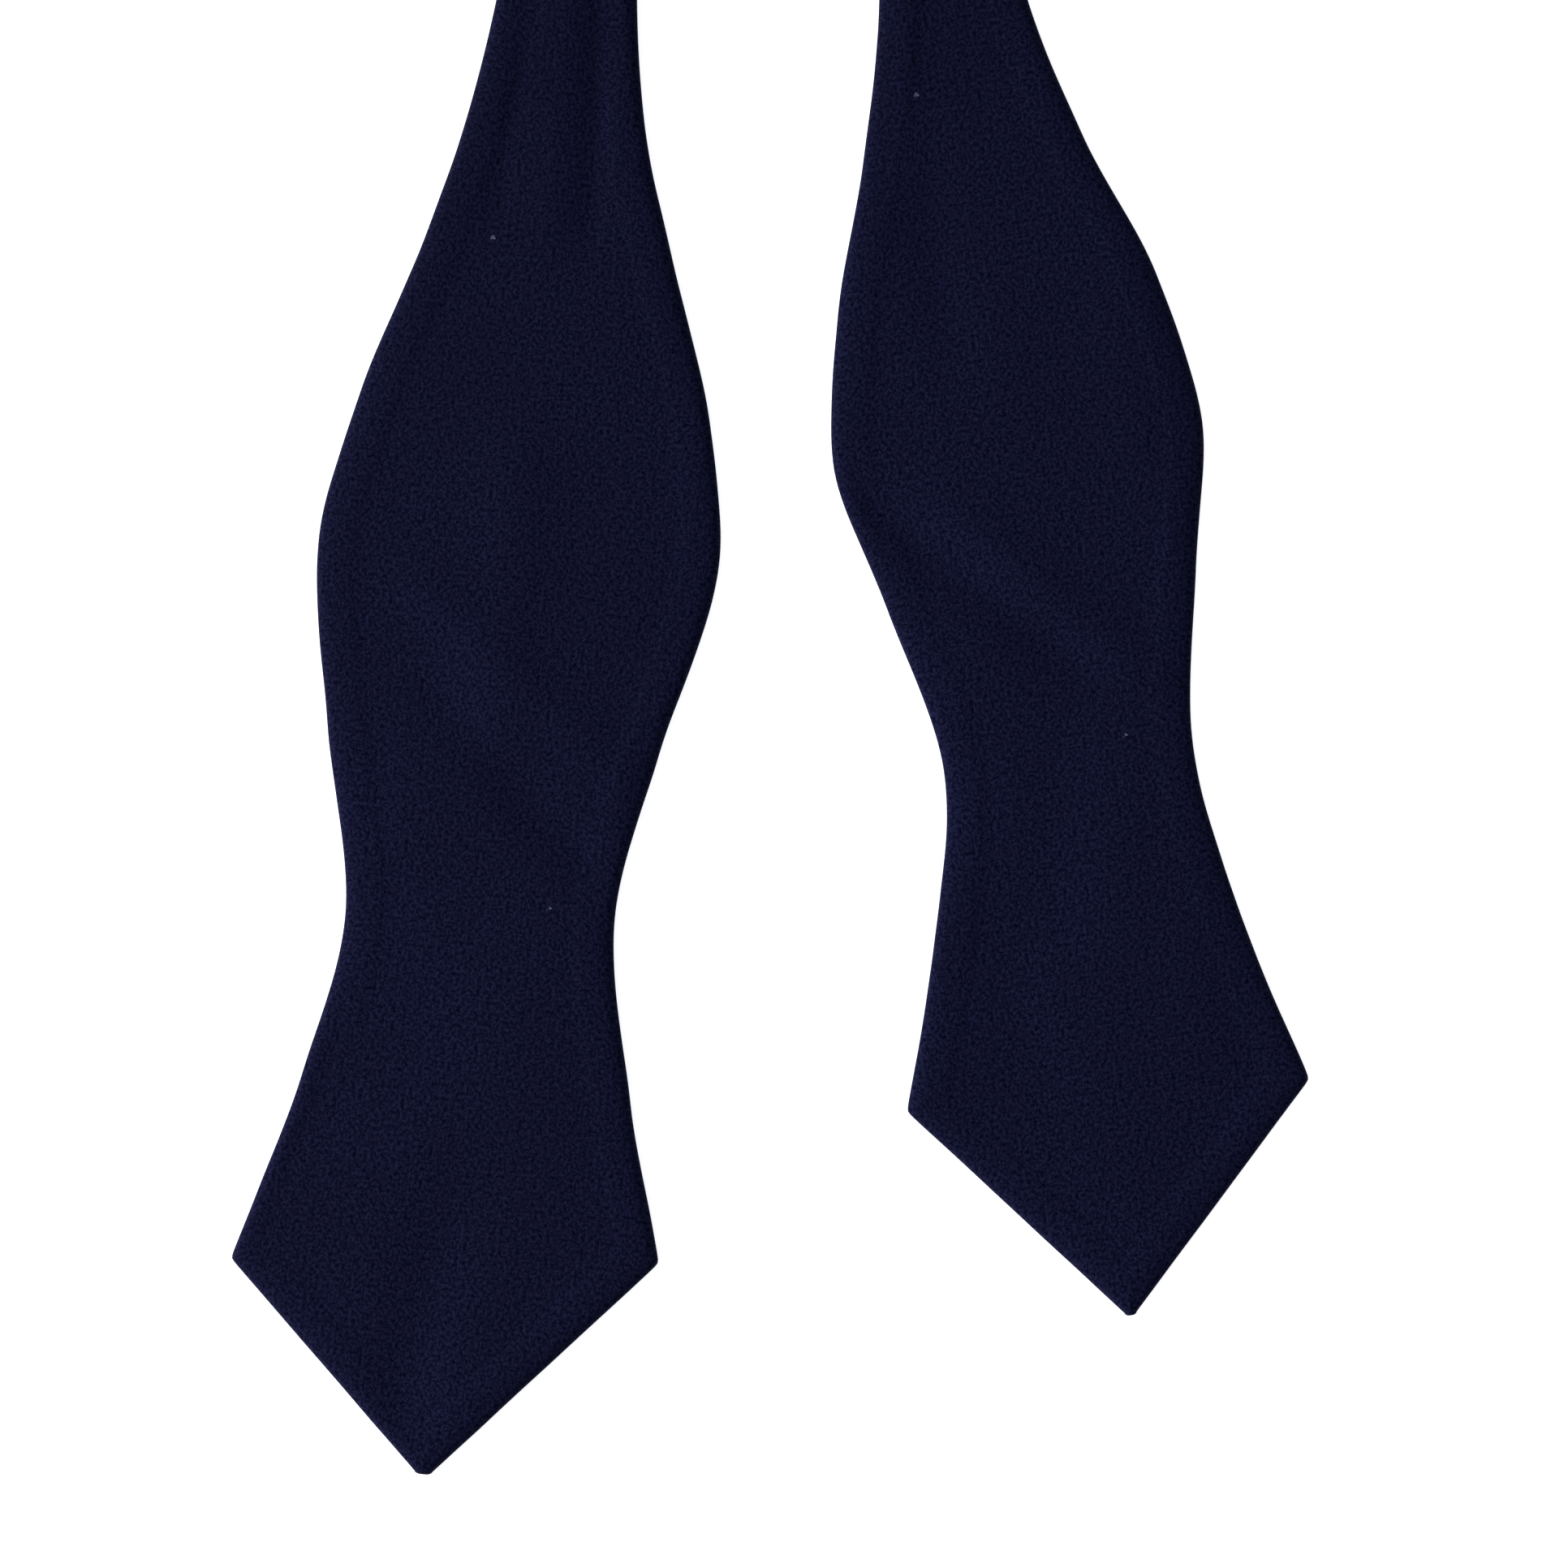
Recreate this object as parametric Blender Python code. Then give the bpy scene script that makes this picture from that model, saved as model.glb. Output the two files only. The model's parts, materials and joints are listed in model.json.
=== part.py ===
"""Untied self-tie bow tie with diamond-point ends, laid out with its neckband hooked.

Metres, +Z up. The two blades lie flat on the table with their points towards -Y. Past the
blades the neckband makes a quarter turn onto its edge and stands in a loop, which an eye and
a hook close. The origin is on the table, under the middle of the whole tie.
"""

import math

import bmesh
import bpy
from mathutils import Matrix, Vector

MM = 0.001
UP = Vector((0.0, 0.0, 1.0))

# The two blades: where each point lies, and the heading of its middle line, clockwise
# from +Y.
POINT = {
    "left": Vector((-48.45, -208.70, 0.0)) * MM,
    "right": Vector((50.60, -186.43, 0.0)) * MM,
}
LEAN = {"left": math.radians(5.58), "right": math.radians(-7.68)}
TIP_HALF_WIDTH = 1.2 * MM

# Each edge of a blade, in millimetres: how far up from the point and how far out from the
# middle line, at the corner, flare, waist, rise, bulge, shoulder and down to the band.
OUTLINE = {
    ("left", "outer"): (
        (27.1, 29.8), (54.5, 22.2), (76.0, 18.5), (102.0, 23.4), (128.0, 27.3),
        (150.0, 23.4), (171.0, 16.9), (191.0, 12.1), (207.0, 9.8), (224.0, 8.5),
    ),
    ("left", "inner"): (
        (32.2, 30.1), (54.5, 23.8), (80.0, 19.2), (102.0, 22.9), (131.0, 28.9),
        (150.0, 25.7), (171.0, 18.7), (191.0, 12.5), (207.0, 9.9), (224.0, 8.5),
    ),
    ("right", "outer"): (
        (29.0, 29.2), (54.5, 22.5), (77.0, 19.3), (102.0, 23.0), (122.5, 26.6),
        (143.0, 23.2), (164.0, 15.5), (185.0, 10.2), (202.0, 8.5),
    ),
    ("right", "inner"): (
        (32.0, 27.3), (54.5, 20.5), (78.0, 15.8), (102.0, 20.6), (123.5, 25.4),
        (143.0, 22.2), (164.0, 15.8), (185.0, 10.7), (202.0, 8.5),
    ),
}
WAIST_UP = {"left": 78.0 * MM, "right": 77.5 * MM}
FOLD_GAP = 0.8 * MM

# The cloth: a back panel and a face panel with turned-in edges, and interlining between.
# Levels are heights above the cloth's own underside.
BACK_LEVELS = {"outside": 0.0, "inside": 0.5 * MM, "rim": 1.05 * MM}
FACE_LEVELS = {"outside": 2.4 * MM, "inside": 1.9 * MM, "rim": 1.35 * MM}
INTERLINING_LEVELS = (0.8 * MM, 1.6 * MM)
CLOTH_THICKNESS = FACE_LEVELS["outside"]
CLOTH_MIDDLE = CLOTH_THICKNESS / 2
SEAM_WIDTH = 1.0 * MM
INTERLINING_INSET = 1.3 * MM
FOLD_PIVOT_Z = CLOTH_THICKNESS + 0.3 * MM

# The neckband: where each blade stops being flat, the quarter turn, and the standing loop.
FLAT_LENGTH = {"left": 210.0 * MM, "right": 188.4 * MM}
TURN_LENGTH = 50.0 * MM
BAND_HALF_WIDTH = 8.5 * MM
BAND_RISE = 1.7 * MM
BAND_MIDDLE_Z = BAND_RISE + BAND_HALF_WIDTH
BEND_Y = 183.3 * MM
RIGHT_BAND_END_Y = 55.3 * MM
LEFT_BAND_END_Y = 179.3 * MM
CLOTH_STOPS_SHORT = 11.0 * MM

# The strap and the metal parts. Each Y is a bar's place along the neckband.
STRAP_HALF_WIDTH = 7.0 * MM
STRAP_THICKNESS = 0.5 * MM
STRAP_START_Y = 45.3 * MM
SLIDE_Y = 116.3 * MM
EYE_Y = 153.3 * MM
EYE_LENGTH = 10.0 * MM
HOOK_BAR_Y = EYE_Y + EYE_LENGTH
SLOT_BAR_Y = HOOK_BAR_Y + 12.0 * MM
WIRE_RADIUS = 0.8 * MM
WRAP_RADIUS = 1.4 * MM
SLIDE_WRAP_RADIUS = 1.5 * MM
WINDOW_HALF_WIDTH = 7.95 * MM
METAL_HALF_WIDTH = 10.0 * MM
SLIDE_BAR_LEVEL = -0.9 * MM
SLIDE_OUTER_LEVEL = 2.75 * MM
SLIDE_HALF_LENGTH = 8.9 * MM
SLIDE_THICKNESS = 1.1 * MM
STRAP_GAP = 0.4 * MM

NAVY = (0.006, 0.0065, 0.023, 1.0)
CREAM = (0.72, 0.68, 0.58, 1.0)
NICKEL = (0.66, 0.64, 0.60, 1.0)


def clear_scene():
    for obj in list(bpy.data.objects):
        bpy.data.objects.remove(obj, do_unlink=True)


def material(name, color, roughness, metallic=0.0):
    made = bpy.data.materials.new(name)
    made.use_nodes = True
    shader = made.node_tree.nodes["Principled BSDF"]
    shader.inputs["Base Color"].default_value = color
    shader.inputs["Roughness"].default_value = roughness
    shader.inputs["Metallic"].default_value = metallic
    return made


def empty(name, place, parent=None):
    """A joint's empty, on the joint's axis, hung from the joint before it."""
    obj = bpy.data.objects.new(name, None)
    obj.empty_display_size = 8 * MM
    bpy.context.scene.collection.objects.link(obj)
    obj.location = place - (world_place(parent) if parent else Vector())
    obj.parent = parent
    return obj


def world_place(obj):
    place = Vector()
    while obj:
        place += obj.location
        obj = obj.parent
    return place


def finish(name, bm, surface, pivot):
    """Turns a bmesh drawn in place into a named object that hangs on its joint's empty."""
    bmesh.ops.recalc_face_normals(bm, faces=bm.faces)
    mesh = bpy.data.meshes.new(name)
    bm.to_mesh(mesh)
    bm.free()
    mesh.materials.append(surface)
    obj = bpy.data.objects.new(name, mesh)
    bpy.context.scene.collection.objects.link(obj)
    if pivot:
        obj.parent = pivot
        obj.matrix_parent_inverse = Matrix.Translation(-world_place(pivot))
    return obj


def cut(obj, cutter, operation="DIFFERENCE"):
    """A Boolean whose other shape stays in the scene as a hidden wire guide."""
    cutter.hide_render = True
    cutter.display_type = "WIRE"
    boolean = obj.modifiers.new(operation.title(), "BOOLEAN")
    boolean.operation = operation
    boolean.object = cutter
    boolean.solver = "EXACT"


# ---- The course of the cloth -------------------------------------------------------------


def smooth_value(stations, up):
    """Height at up of a smooth curve through (up, height) stations, with no bumps between."""
    up = min(max(up, stations[0][0]), stations[-1][0])
    i = next(i for i in range(len(stations) - 1) if up <= stations[i + 1][0])
    (x0, y0), (x1, y1) = stations[i], stations[i + 1]
    span = x1 - x0
    part = (up - x0) / span
    rise = slope(stations, i) * span
    fall = slope(stations, i + 1) * span
    return (
        y0 * (1 + 2 * part) * (1 - part) ** 2
        + y1 * part**2 * (3 - 2 * part)
        + rise * part * (1 - part) ** 2
        - fall * part**2 * (1 - part)
    )


def slope(stations, i):
    if i == len(stations) - 1:
        return 0.0
    after = secant(stations, i)
    before = secant(stations, i - 1) if i else after
    return 2 * before * after / (before + after) if before * after > 0 else 0.0


def secant(stations, i):
    (x0, y0), (x1, y1) = stations[i], stations[i + 1]
    return (y1 - y0) / (x1 - x0)


def half_width(half, edge, up):
    """How far this edge lies from the middle line, at a distance up from the blade's point."""
    corner_up, corner_out = (value * MM for value in OUTLINE[half, edge][0])
    if up < corner_up:
        return TIP_HALF_WIDTH + (corner_out - TIP_HALF_WIDTH) * up / corner_up
    return smooth_value(OUTLINE[half, edge], up / MM) * MM


def arc_end(start, heading, length, turn):
    """Where a path ends that leaves start on a heading and turns evenly over its length."""
    if abs(turn) < 1e-9:
        return start + Vector((math.sin(heading), math.cos(heading), 0.0)) * length
    radius = length / turn
    return start + radius * Vector((
        math.cos(heading) - math.cos(heading + turn),
        math.sin(heading + turn) - math.sin(heading),
        0.0,
    ))


def turn_end(half):
    """Where the quarter turn onto the band's edge ends, and the straight run starts."""
    flat_end = arc_end(POINT[half], LEAN[half], FLAT_LENGTH[half], 0.0)
    return arc_end(flat_end, LEAN[half], TURN_LENGTH, -LEAN[half])


HARDWARE_X = turn_end("right").x + CLOTH_MIDDLE - WRAP_RADIUS
BEND_RADIUS = (HARDWARE_X - CLOTH_MIDDLE - turn_end("left").x) / 2
LEGS = {
    "left": (
        (FLAT_LENGTH["left"], 0.0),
        (TURN_LENGTH, -LEAN["left"]),
        (BEND_Y - turn_end("left").y, 0.0),
        (math.pi * BEND_RADIUS, math.pi),
        (BEND_Y - LEFT_BAND_END_Y, 0.0),
    ),
    "right": (
        (FLAT_LENGTH["right"], 0.0),
        (TURN_LENGTH, -LEAN["right"]),
        (RIGHT_BAND_END_Y - turn_end("right").y, 0.0),
    ),
}
COURSE_LENGTH = {half: sum(length for length, turn in LEGS[half]) for half in LEGS}


def frame_at(half, along):
    """The cloth's underside at a distance along from the point: its middle, the direction
    across it towards its inner edge, and its normal towards the face."""
    place, heading, left_over = POINT[half], LEAN[half], along
    for length, turn in LEGS[half]:
        step = min(left_over, length)
        place = arc_end(place, heading, step, turn * step / length)
        heading += turn * step / length
        left_over -= step
    turned = min(max((along - FLAT_LENGTH[half]) / TURN_LENGTH, 0.0), 1.0)
    eased = turned * turned * (3 - 2 * turned)
    roll = eased * math.pi / 2
    inward = Vector((math.cos(heading), -math.sin(heading), 0.0))
    if half == "right":
        inward.negate()
    height = BAND_RISE * eased + half_width(half, "outer", along) * math.sin(roll)
    across = inward * math.cos(roll) + UP * math.sin(roll)
    normal = UP * math.cos(roll) - inward * math.sin(roll)
    return place + UP * height, across, normal


def cloth_ring(half, up_outer, up_inner):
    """One crosswise line of the cloth: its outer edge, middle, inner edge and normal."""
    place, across, normal = frame_at(half, (up_outer + up_inner) / 2)
    outer_place, outer_across, _ = frame_at(half, up_outer)
    inner_place, inner_across, _ = frame_at(half, up_inner)
    outer = outer_place - outer_across * half_width(half, "outer", up_outer)
    inner = inner_place + inner_across * half_width(half, "inner", up_inner)
    return outer, place, inner, normal


def end_rings(half, start):
    """Rings of the blade's diamond end, from its point up to the fold at its waist."""
    stop = WAIST_UP[half] - FOLD_GAP / 2
    corners = [OUTLINE[half, edge][0][0] * MM for edge in ("outer", "inner")]
    rings = [cloth_ring(half, start, start)]
    for i in range(5):
        rings.append(cloth_ring(half, *[up + (stop - up) * i / 4 for up in corners]))
    return rings


def band_rings(half, clearance):
    """Rings from the fold at the waist, over the bulge and on to the neckband's end, which
    the clearance keeps back."""
    counts = {"left": (12, 12, 1, 16, 1), "right": (11, 12, 1)}[half]
    start = WAIST_UP[half] + FOLD_GAP / 2
    rings = [start]
    leg_start = 0.0
    for (length, turn), count in zip(LEGS[half], counts):
        leg_end = leg_start + length
        begin = max(leg_start, start)
        rings += [begin + (leg_end - begin) * (i + 1) / count for i in range(count)]
        leg_start = leg_end
    stop = leg_start - clearance
    rings = [up for up in rings if up < stop - MM] + [stop]
    return [cloth_ring(half, up, up) for up in rings]


# ---- Solids along a course ---------------------------------------------------------------


def ring_point(ring, share, inset, level):
    """A point of a ring: a share of the way from its middle (0) to an edge (-1 or 1), where
    the edge is first moved in by the inset, at a level above the underside."""
    outer, middle, inner, normal = ring
    reach = (inner if share > 0 else outer) - middle
    reach -= reach.normalized() * inset
    return middle + reach * abs(share) + normal * level


def strip(rings, upper_row, lower_row):
    """A closed bmesh lofted along rings between two rows of (share, inset, level)."""
    bm = bmesh.new()
    count = len(upper_row)
    loops = []
    for ring in rings:
        row = [ring_point(ring, *spot) for spot in upper_row + lower_row[::-1]]
        loops.append([bm.verts.new(point) for point in row])
    size = 2 * count
    for near, far in zip(loops, loops[1:]):
        for i in range(size):
            j = (i + 1) % size
            bm.faces.new((near[i], near[j], far[j]))
            bm.faces.new((near[i], far[j], far[i]))
    for loop in (loops[0], loops[-1]):
        for i in range(count - 1):
            bm.faces.new((loop[i], loop[i + 1], loop[size - 2 - i], loop[size - 1 - i]))
    return bm


SHARES = (-1.0, -0.5, 0.0, 0.5, 1.0)


def panel(name, rings, levels, surface, pivot):
    """A cloth panel whose edges are turned in towards its partner, like a shallow tray."""
    outside = [(-1, 0, levels["rim"])]
    outside += [(share, 0, levels["outside"]) for share in SHARES]
    outside += [(1, 0, levels["rim"])]
    inside = [(-1, SEAM_WIDTH, levels["rim"])]
    inside += [(share, SEAM_WIDTH, levels["inside"]) for share in SHARES]
    inside += [(1, SEAM_WIDTH, levels["rim"])]
    return finish(name, strip(rings, outside, inside), surface, pivot)


def flat_strip(name, rings, levels, inset, surface, pivot):
    rows = [[(share, inset, level) for share in SHARES] for level in levels]
    return finish(name, strip(rings, *rows), surface, pivot)


# ---- The strap and the metal parts -------------------------------------------------------


def beside(y, out, z=0.0):
    """A point by its Y, how far it lies out from the metal parts' plane, and its height
    above the middle of the band."""
    return Vector((HARDWARE_X + out, y, BAND_MIDDLE_Z + z))


def strap_ring(y, out, direction, half_width=STRAP_HALF_WIDTH):
    """A crosswise line of a standing strap that runs in a direction (y, out) of the plan."""
    middle = beside(y, out)
    normal = Vector((direction[0], -direction[1], 0.0)).normalized()
    return middle - UP * half_width, middle, middle + UP * half_width, normal


def wrap_rings(y, out, radius, first, last, count, half_width=STRAP_HALF_WIDTH):
    """Rings round a bar at (y, out). Angles run from +X towards +Y."""
    rings = []
    for i in range(count + 1):
        angle = first + (last - first) * i / count
        at_y = y + radius * math.sin(angle)
        at_out = out + radius * math.cos(angle)
        rings.append(strap_ring(at_y, at_out, (math.cos(angle), -math.sin(angle)), half_width))
    return rings


def strap(name, rings, surface, pivot, thickness=STRAP_THICKNESS):
    rows = [[(share, 0.0, level) for share in SHARES[::2]] for level in
            (thickness / 2, -thickness / 2)]
    return finish(name, strip(rings, *rows), surface, pivot)


def box(name, low, high, surface, pivot):
    bm = bmesh.new()
    bmesh.ops.create_cube(bm, size=1.0)
    middle, size = (low + high) / 2, high - low
    bmesh.ops.scale(bm, vec=size, verts=bm.verts)
    bmesh.ops.translate(bm, vec=middle, verts=bm.verts)
    return finish(name, bm, surface, pivot)


def standing_strap(cloth):
    rings = [strap_ring(y, WRAP_RADIUS, (1, 0)) for y in
             (STRAP_START_Y, EYE_Y - STRAP_GAP)]
    strap("strap_standing_run", rings, cloth, None)


def eye_loop_of_strap(cloth, pivot):
    rings = wrap_rings(EYE_Y, 0.0, WRAP_RADIUS, 0.0, math.pi, 10)
    strap("strap_eye_loop", rings, cloth, pivot)


def return_strap(cloth, pivot):
    """The run back from the eye to the slide, on the inner side of the standing run."""
    eye_end = (EYE_Y - STRAP_GAP, -WRAP_RADIUS)
    slide_end = (SLIDE_Y + 7 * MM + STRAP_GAP, SLIDE_BAR_LEVEL - SLIDE_WRAP_RADIUS)
    along = (slide_end[0] - eye_end[0], slide_end[1] - eye_end[1])
    rings = [strap_ring(*end, along) for end in (eye_end, slide_end)]
    strap("strap_return_run", rings, cloth, pivot)


def end_fold_of_strap(cloth, pivot):
    """The strap's end, wrapped round the slide's middle bar and sewn back on itself."""
    rings = [strap_ring(SLIDE_Y + 7 * MM, SLIDE_BAR_LEVEL - SLIDE_WRAP_RADIUS, (-1, 0))]
    rings += wrap_rings(SLIDE_Y, SLIDE_BAR_LEVEL, SLIDE_WRAP_RADIUS, -math.pi, 0.0, 10)
    rings += [strap_ring(SLIDE_Y + 6 * MM, SLIDE_BAR_LEVEL + SLIDE_WRAP_RADIUS, (1, 0))]
    strap("strap_end_fold", rings, cloth, pivot)


def slide(metal, pivot):
    """A pressed slide. Its middle bar lies inside the standing run and its end bars outside,
    so the side rails make a wave."""
    rings = []
    wave_length = 8 * MM
    count = 24
    for i in range(count + 1):
        y = SLIDE_HALF_LENGTH * (2 * i / count - 1)
        part = min(abs(y) / wave_length, 1.0)
        lift = (1 - math.cos(math.pi * part)) / 2
        out = SLIDE_BAR_LEVEL + (SLIDE_OUTER_LEVEL - SLIDE_BAR_LEVEL) * lift
        lean = math.copysign(math.sin(math.pi * part), y) * math.pi / 2 / wave_length
        lean *= SLIDE_OUTER_LEVEL - SLIDE_BAR_LEVEL
        rings.append(strap_ring(SLIDE_Y + y, out, (1, lean), METAL_HALF_WIDTH))
    obj = strap("slide_frame", rings, metal, pivot, SLIDE_THICKNESS)
    for side in (-1, 1):
        ends = sorted((side * 0.8 * MM, side * 7.1 * MM))
        low = beside(SLIDE_Y + ends[0], -5 * MM, -WINDOW_HALF_WIDTH)
        high = beside(SLIDE_Y + ends[1], 5 * MM, WINDOW_HALF_WIDTH)
        cut(obj, box("slide_window", low, high, metal, pivot))


def eye(metal, pivot):
    """A rectangular wire eye with rounded corners."""
    corner = 2.0 * MM
    half_width = WINDOW_HALF_WIDTH + WIRE_RADIUS
    curve = bpy.data.curves.new("eye_ring", "CURVE")
    curve.dimensions = "3D"
    curve.bevel_depth = WIRE_RADIUS
    curve.bevel_resolution = 2
    points = []
    for quarter, (y, z) in enumerate(((1, 1), (0, 1), (0, -1), (1, -1))):
        centre_y = EYE_Y + corner + (EYE_LENGTH - 2 * corner) * y
        centre_z = (half_width - corner) * z
        for i in range(5):
            angle = math.pi / 2 * (quarter + i / 4)
            points.append(beside(
                centre_y + corner * math.cos(angle), 0.0, centre_z + corner * math.sin(angle)
            ))
    spline = curve.splines.new("POLY")
    spline.points.add(len(points) - 1)
    for spot, point in zip(spline.points, points):
        spot.co = (*point, 1.0)
    spline.use_cyclic_u = True
    curve.materials.append(metal)
    obj = bpy.data.objects.new("eye_ring", curve)
    bpy.context.scene.collection.objects.link(obj)
    obj.parent = pivot
    obj.matrix_parent_inverse = Matrix.Translation(-world_place(pivot))


def hook(metal, pivot):
    """A pressed hook: a slotted plate, and a tongue that steps down beside the eye's far bar
    and curls round it. Pushed into the eye, the bar slides along the step and past the lip."""
    thickness = 0.9 * MM
    curl_radius = 1.6 * MM
    plate_start, plate_end = SLOT_BAR_Y - 6.2 * MM, SLOT_BAR_Y + 0.8 * MM
    tongue = 4.5 * MM
    half_thickness = thickness / 2
    low = beside(plate_start, -half_thickness, -9.5 * MM)
    high = beside(plate_end, half_thickness, 9.5 * MM)
    obj = box("hook", low, high, metal, pivot)
    low = beside(SLOT_BAR_Y - 5.0 * MM, -5 * MM, -WINDOW_HALF_WIDTH)
    high = beside(SLOT_BAR_Y - 0.8 * MM, 5 * MM, WINDOW_HALF_WIDTH)
    cut(obj, box("hook_slot", low, high, metal, pivot))
    rings = [
        strap_ring(plate_start + 0.9 * MM, 0.0, (-1, 0), tongue),
        strap_ring(plate_start, -0.1 * MM, (-1, -0.5), tongue),
        strap_ring(HOOK_BAR_Y + 4.6 * MM, -1.55 * MM, (-1, -0.5), tongue),
    ]
    rings += wrap_rings(HOOK_BAR_Y, 0.0, curl_radius, -math.pi, 0.0, 12, tongue)
    rings += [
        strap_ring(HOOK_BAR_Y + 1.8 * MM, curl_radius + 0.1 * MM, (1, 0.15), tongue),
        strap_ring(HOOK_BAR_Y + 3.0 * MM, curl_radius + 0.5 * MM, (1, 0.35), tongue),
    ]
    curl = strap("hook_curl", rings, metal, pivot, thickness)
    cut(obj, curl, "UNION")


def hook_tab(cloth, pivot):
    """A tab of doubled strap: round the hook's slotted bar and back into the band's end."""
    layer = 0.3 * MM
    thickness = 0.4 * MM
    inside_end = LEFT_BAND_END_Y + 6.0 * MM
    joined_y = SLOT_BAR_Y + 3.5 * MM
    apart_y = SLOT_BAR_Y + 1.5 * MM
    before = [
        strap_ring(inside_end, -layer, (-1, 0)),
        strap_ring(joined_y, -layer, (-1, -0.15)),
        strap_ring(apart_y, -WRAP_RADIUS + 0.1 * MM, (-1, -0.15)),
    ]
    after = [
        strap_ring(apart_y, WRAP_RADIUS - 0.1 * MM, (1, -0.15)),
        strap_ring(joined_y, layer, (1, -0.15)),
        strap_ring(inside_end, layer, (1, 0)),
    ]
    round_bar = wrap_rings(SLOT_BAR_Y, 0.0, WRAP_RADIUS, -math.pi, 0.0, 10)
    strap("hook_tab", before + round_bar + after, cloth, pivot, thickness)


def tack(name, y, out, thread, pivot):
    """A row of stitches across the strap, seen as one raised bar of thread."""
    low = beside(y - 0.7 * MM, out, -6 * MM)
    high = beside(y + 0.7 * MM, out + 0.4 * MM, 6 * MM)
    box(name, low, high, thread, pivot)


def size_label(cloth, pivot):
    """A blank woven label on the inner side of the left run."""
    inner_side = turn_end("left").x
    low = Vector((inner_side + 0.3 * MM, 70 * MM, BAND_MIDDLE_Z - 6 * MM))
    high = Vector((inner_side + 0.7 * MM, 100 * MM, BAND_MIDDLE_Z + 6 * MM))
    box("size_label", low, high, cloth, pivot)


def blade_and_band(half, cloth, lining, band_pivot, end_pivot):
    """One half of the tie: the neckband with its bulge, and the diamond end past the fold."""
    rings = band_rings(half, 0.0)
    panel(half + "_back", rings, BACK_LEVELS, cloth, band_pivot)
    panel(half + "_face", rings, FACE_LEVELS, cloth, band_pivot)
    inner_rings = band_rings(half, CLOTH_STOPS_SHORT)
    flat_strip(half + "_interlining", inner_rings, INTERLINING_LEVELS, INTERLINING_INSET,
               lining, band_pivot)
    rings = end_rings(half, 0.0)
    panel(half + "_end_back", rings, BACK_LEVELS, cloth, end_pivot)
    panel(half + "_end_face", rings, FACE_LEVELS, cloth, end_pivot)
    flat_strip(half + "_end_interlining", end_rings(half, 3 * MM), INTERLINING_LEVELS,
               INTERLINING_INSET, lining, end_pivot)


def waist_place(half):
    place, _, _ = frame_at(half, WAIST_UP[half])
    return place + UP * FOLD_PIVOT_Z


def build():
    clear_scene()
    cloth = material("navy_cloth", NAVY, 0.85)
    lining = material("interlining", CREAM, 0.9)
    metal = material("nickel_plate", NICKEL, 0.25, 1.0)
    thread = material("navy_thread", NAVY, 0.6)

    eye_travel = empty("eye_travel", beside(EYE_Y, 0.0))
    slide_travel = empty("slide_travel", beside(SLIDE_Y, 0.0), eye_travel)
    eye_swing = empty("eye_swing", beside(EYE_Y, 0.0), eye_travel)
    hook_release = empty("hook_release", beside(HOOK_BAR_Y, 0.0), eye_swing)
    tab_swing = empty("tab_swing", beside(SLOT_BAR_Y, 0.0), hook_release)
    left_fold = empty("left_waist_fold", waist_place("left"), tab_swing)
    right_fold = empty("right_waist_fold", waist_place("right"))

    blade_and_band("right", cloth, lining, None, right_fold)
    blade_and_band("left", cloth, lining, tab_swing, left_fold)

    standing_strap(cloth)
    eye_loop_of_strap(cloth, eye_travel)
    return_strap(cloth, slide_travel)
    end_fold_of_strap(cloth, slide_travel)
    slide(metal, slide_travel)
    eye(metal, eye_swing)
    hook(metal, hook_release)
    hook_tab(cloth, tab_swing)

    face_level = WRAP_RADIUS + CLOTH_MIDDLE + 0.3 * MM
    tack("strap_joint_tack", RIGHT_BAND_END_Y - 4 * MM, face_level, thread, None)
    face_level = CLOTH_MIDDLE + 0.3 * MM
    tack("tab_joint_tack", LEFT_BAND_END_Y + 3 * MM, face_level, thread, tab_swing)
    fold_level = SLIDE_BAR_LEVEL - SLIDE_WRAP_RADIUS - STRAP_THICKNESS / 2 - 0.7 * MM
    tack("strap_fold_tack", SLIDE_Y + 4.5 * MM, fold_level, thread, slide_travel)
    size_label(cloth, tab_swing)


build()
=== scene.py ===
"""An untied self-tie bow tie in midnight-navy barathea, laid out with its neckband hooked.

A Blender 4.5 script in metres, +Z up. It follows the tie as it is made up: the two long halves,
each a back panel, a canvas and a face panel sewn round the edge, then the strap, slide, eye and
hook that join them at the back of the neck, and the label.
"""

import json
import math

import bmesh
import bpy
import numpy as np
from mathutils import Matrix, Vector, noise


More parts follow.
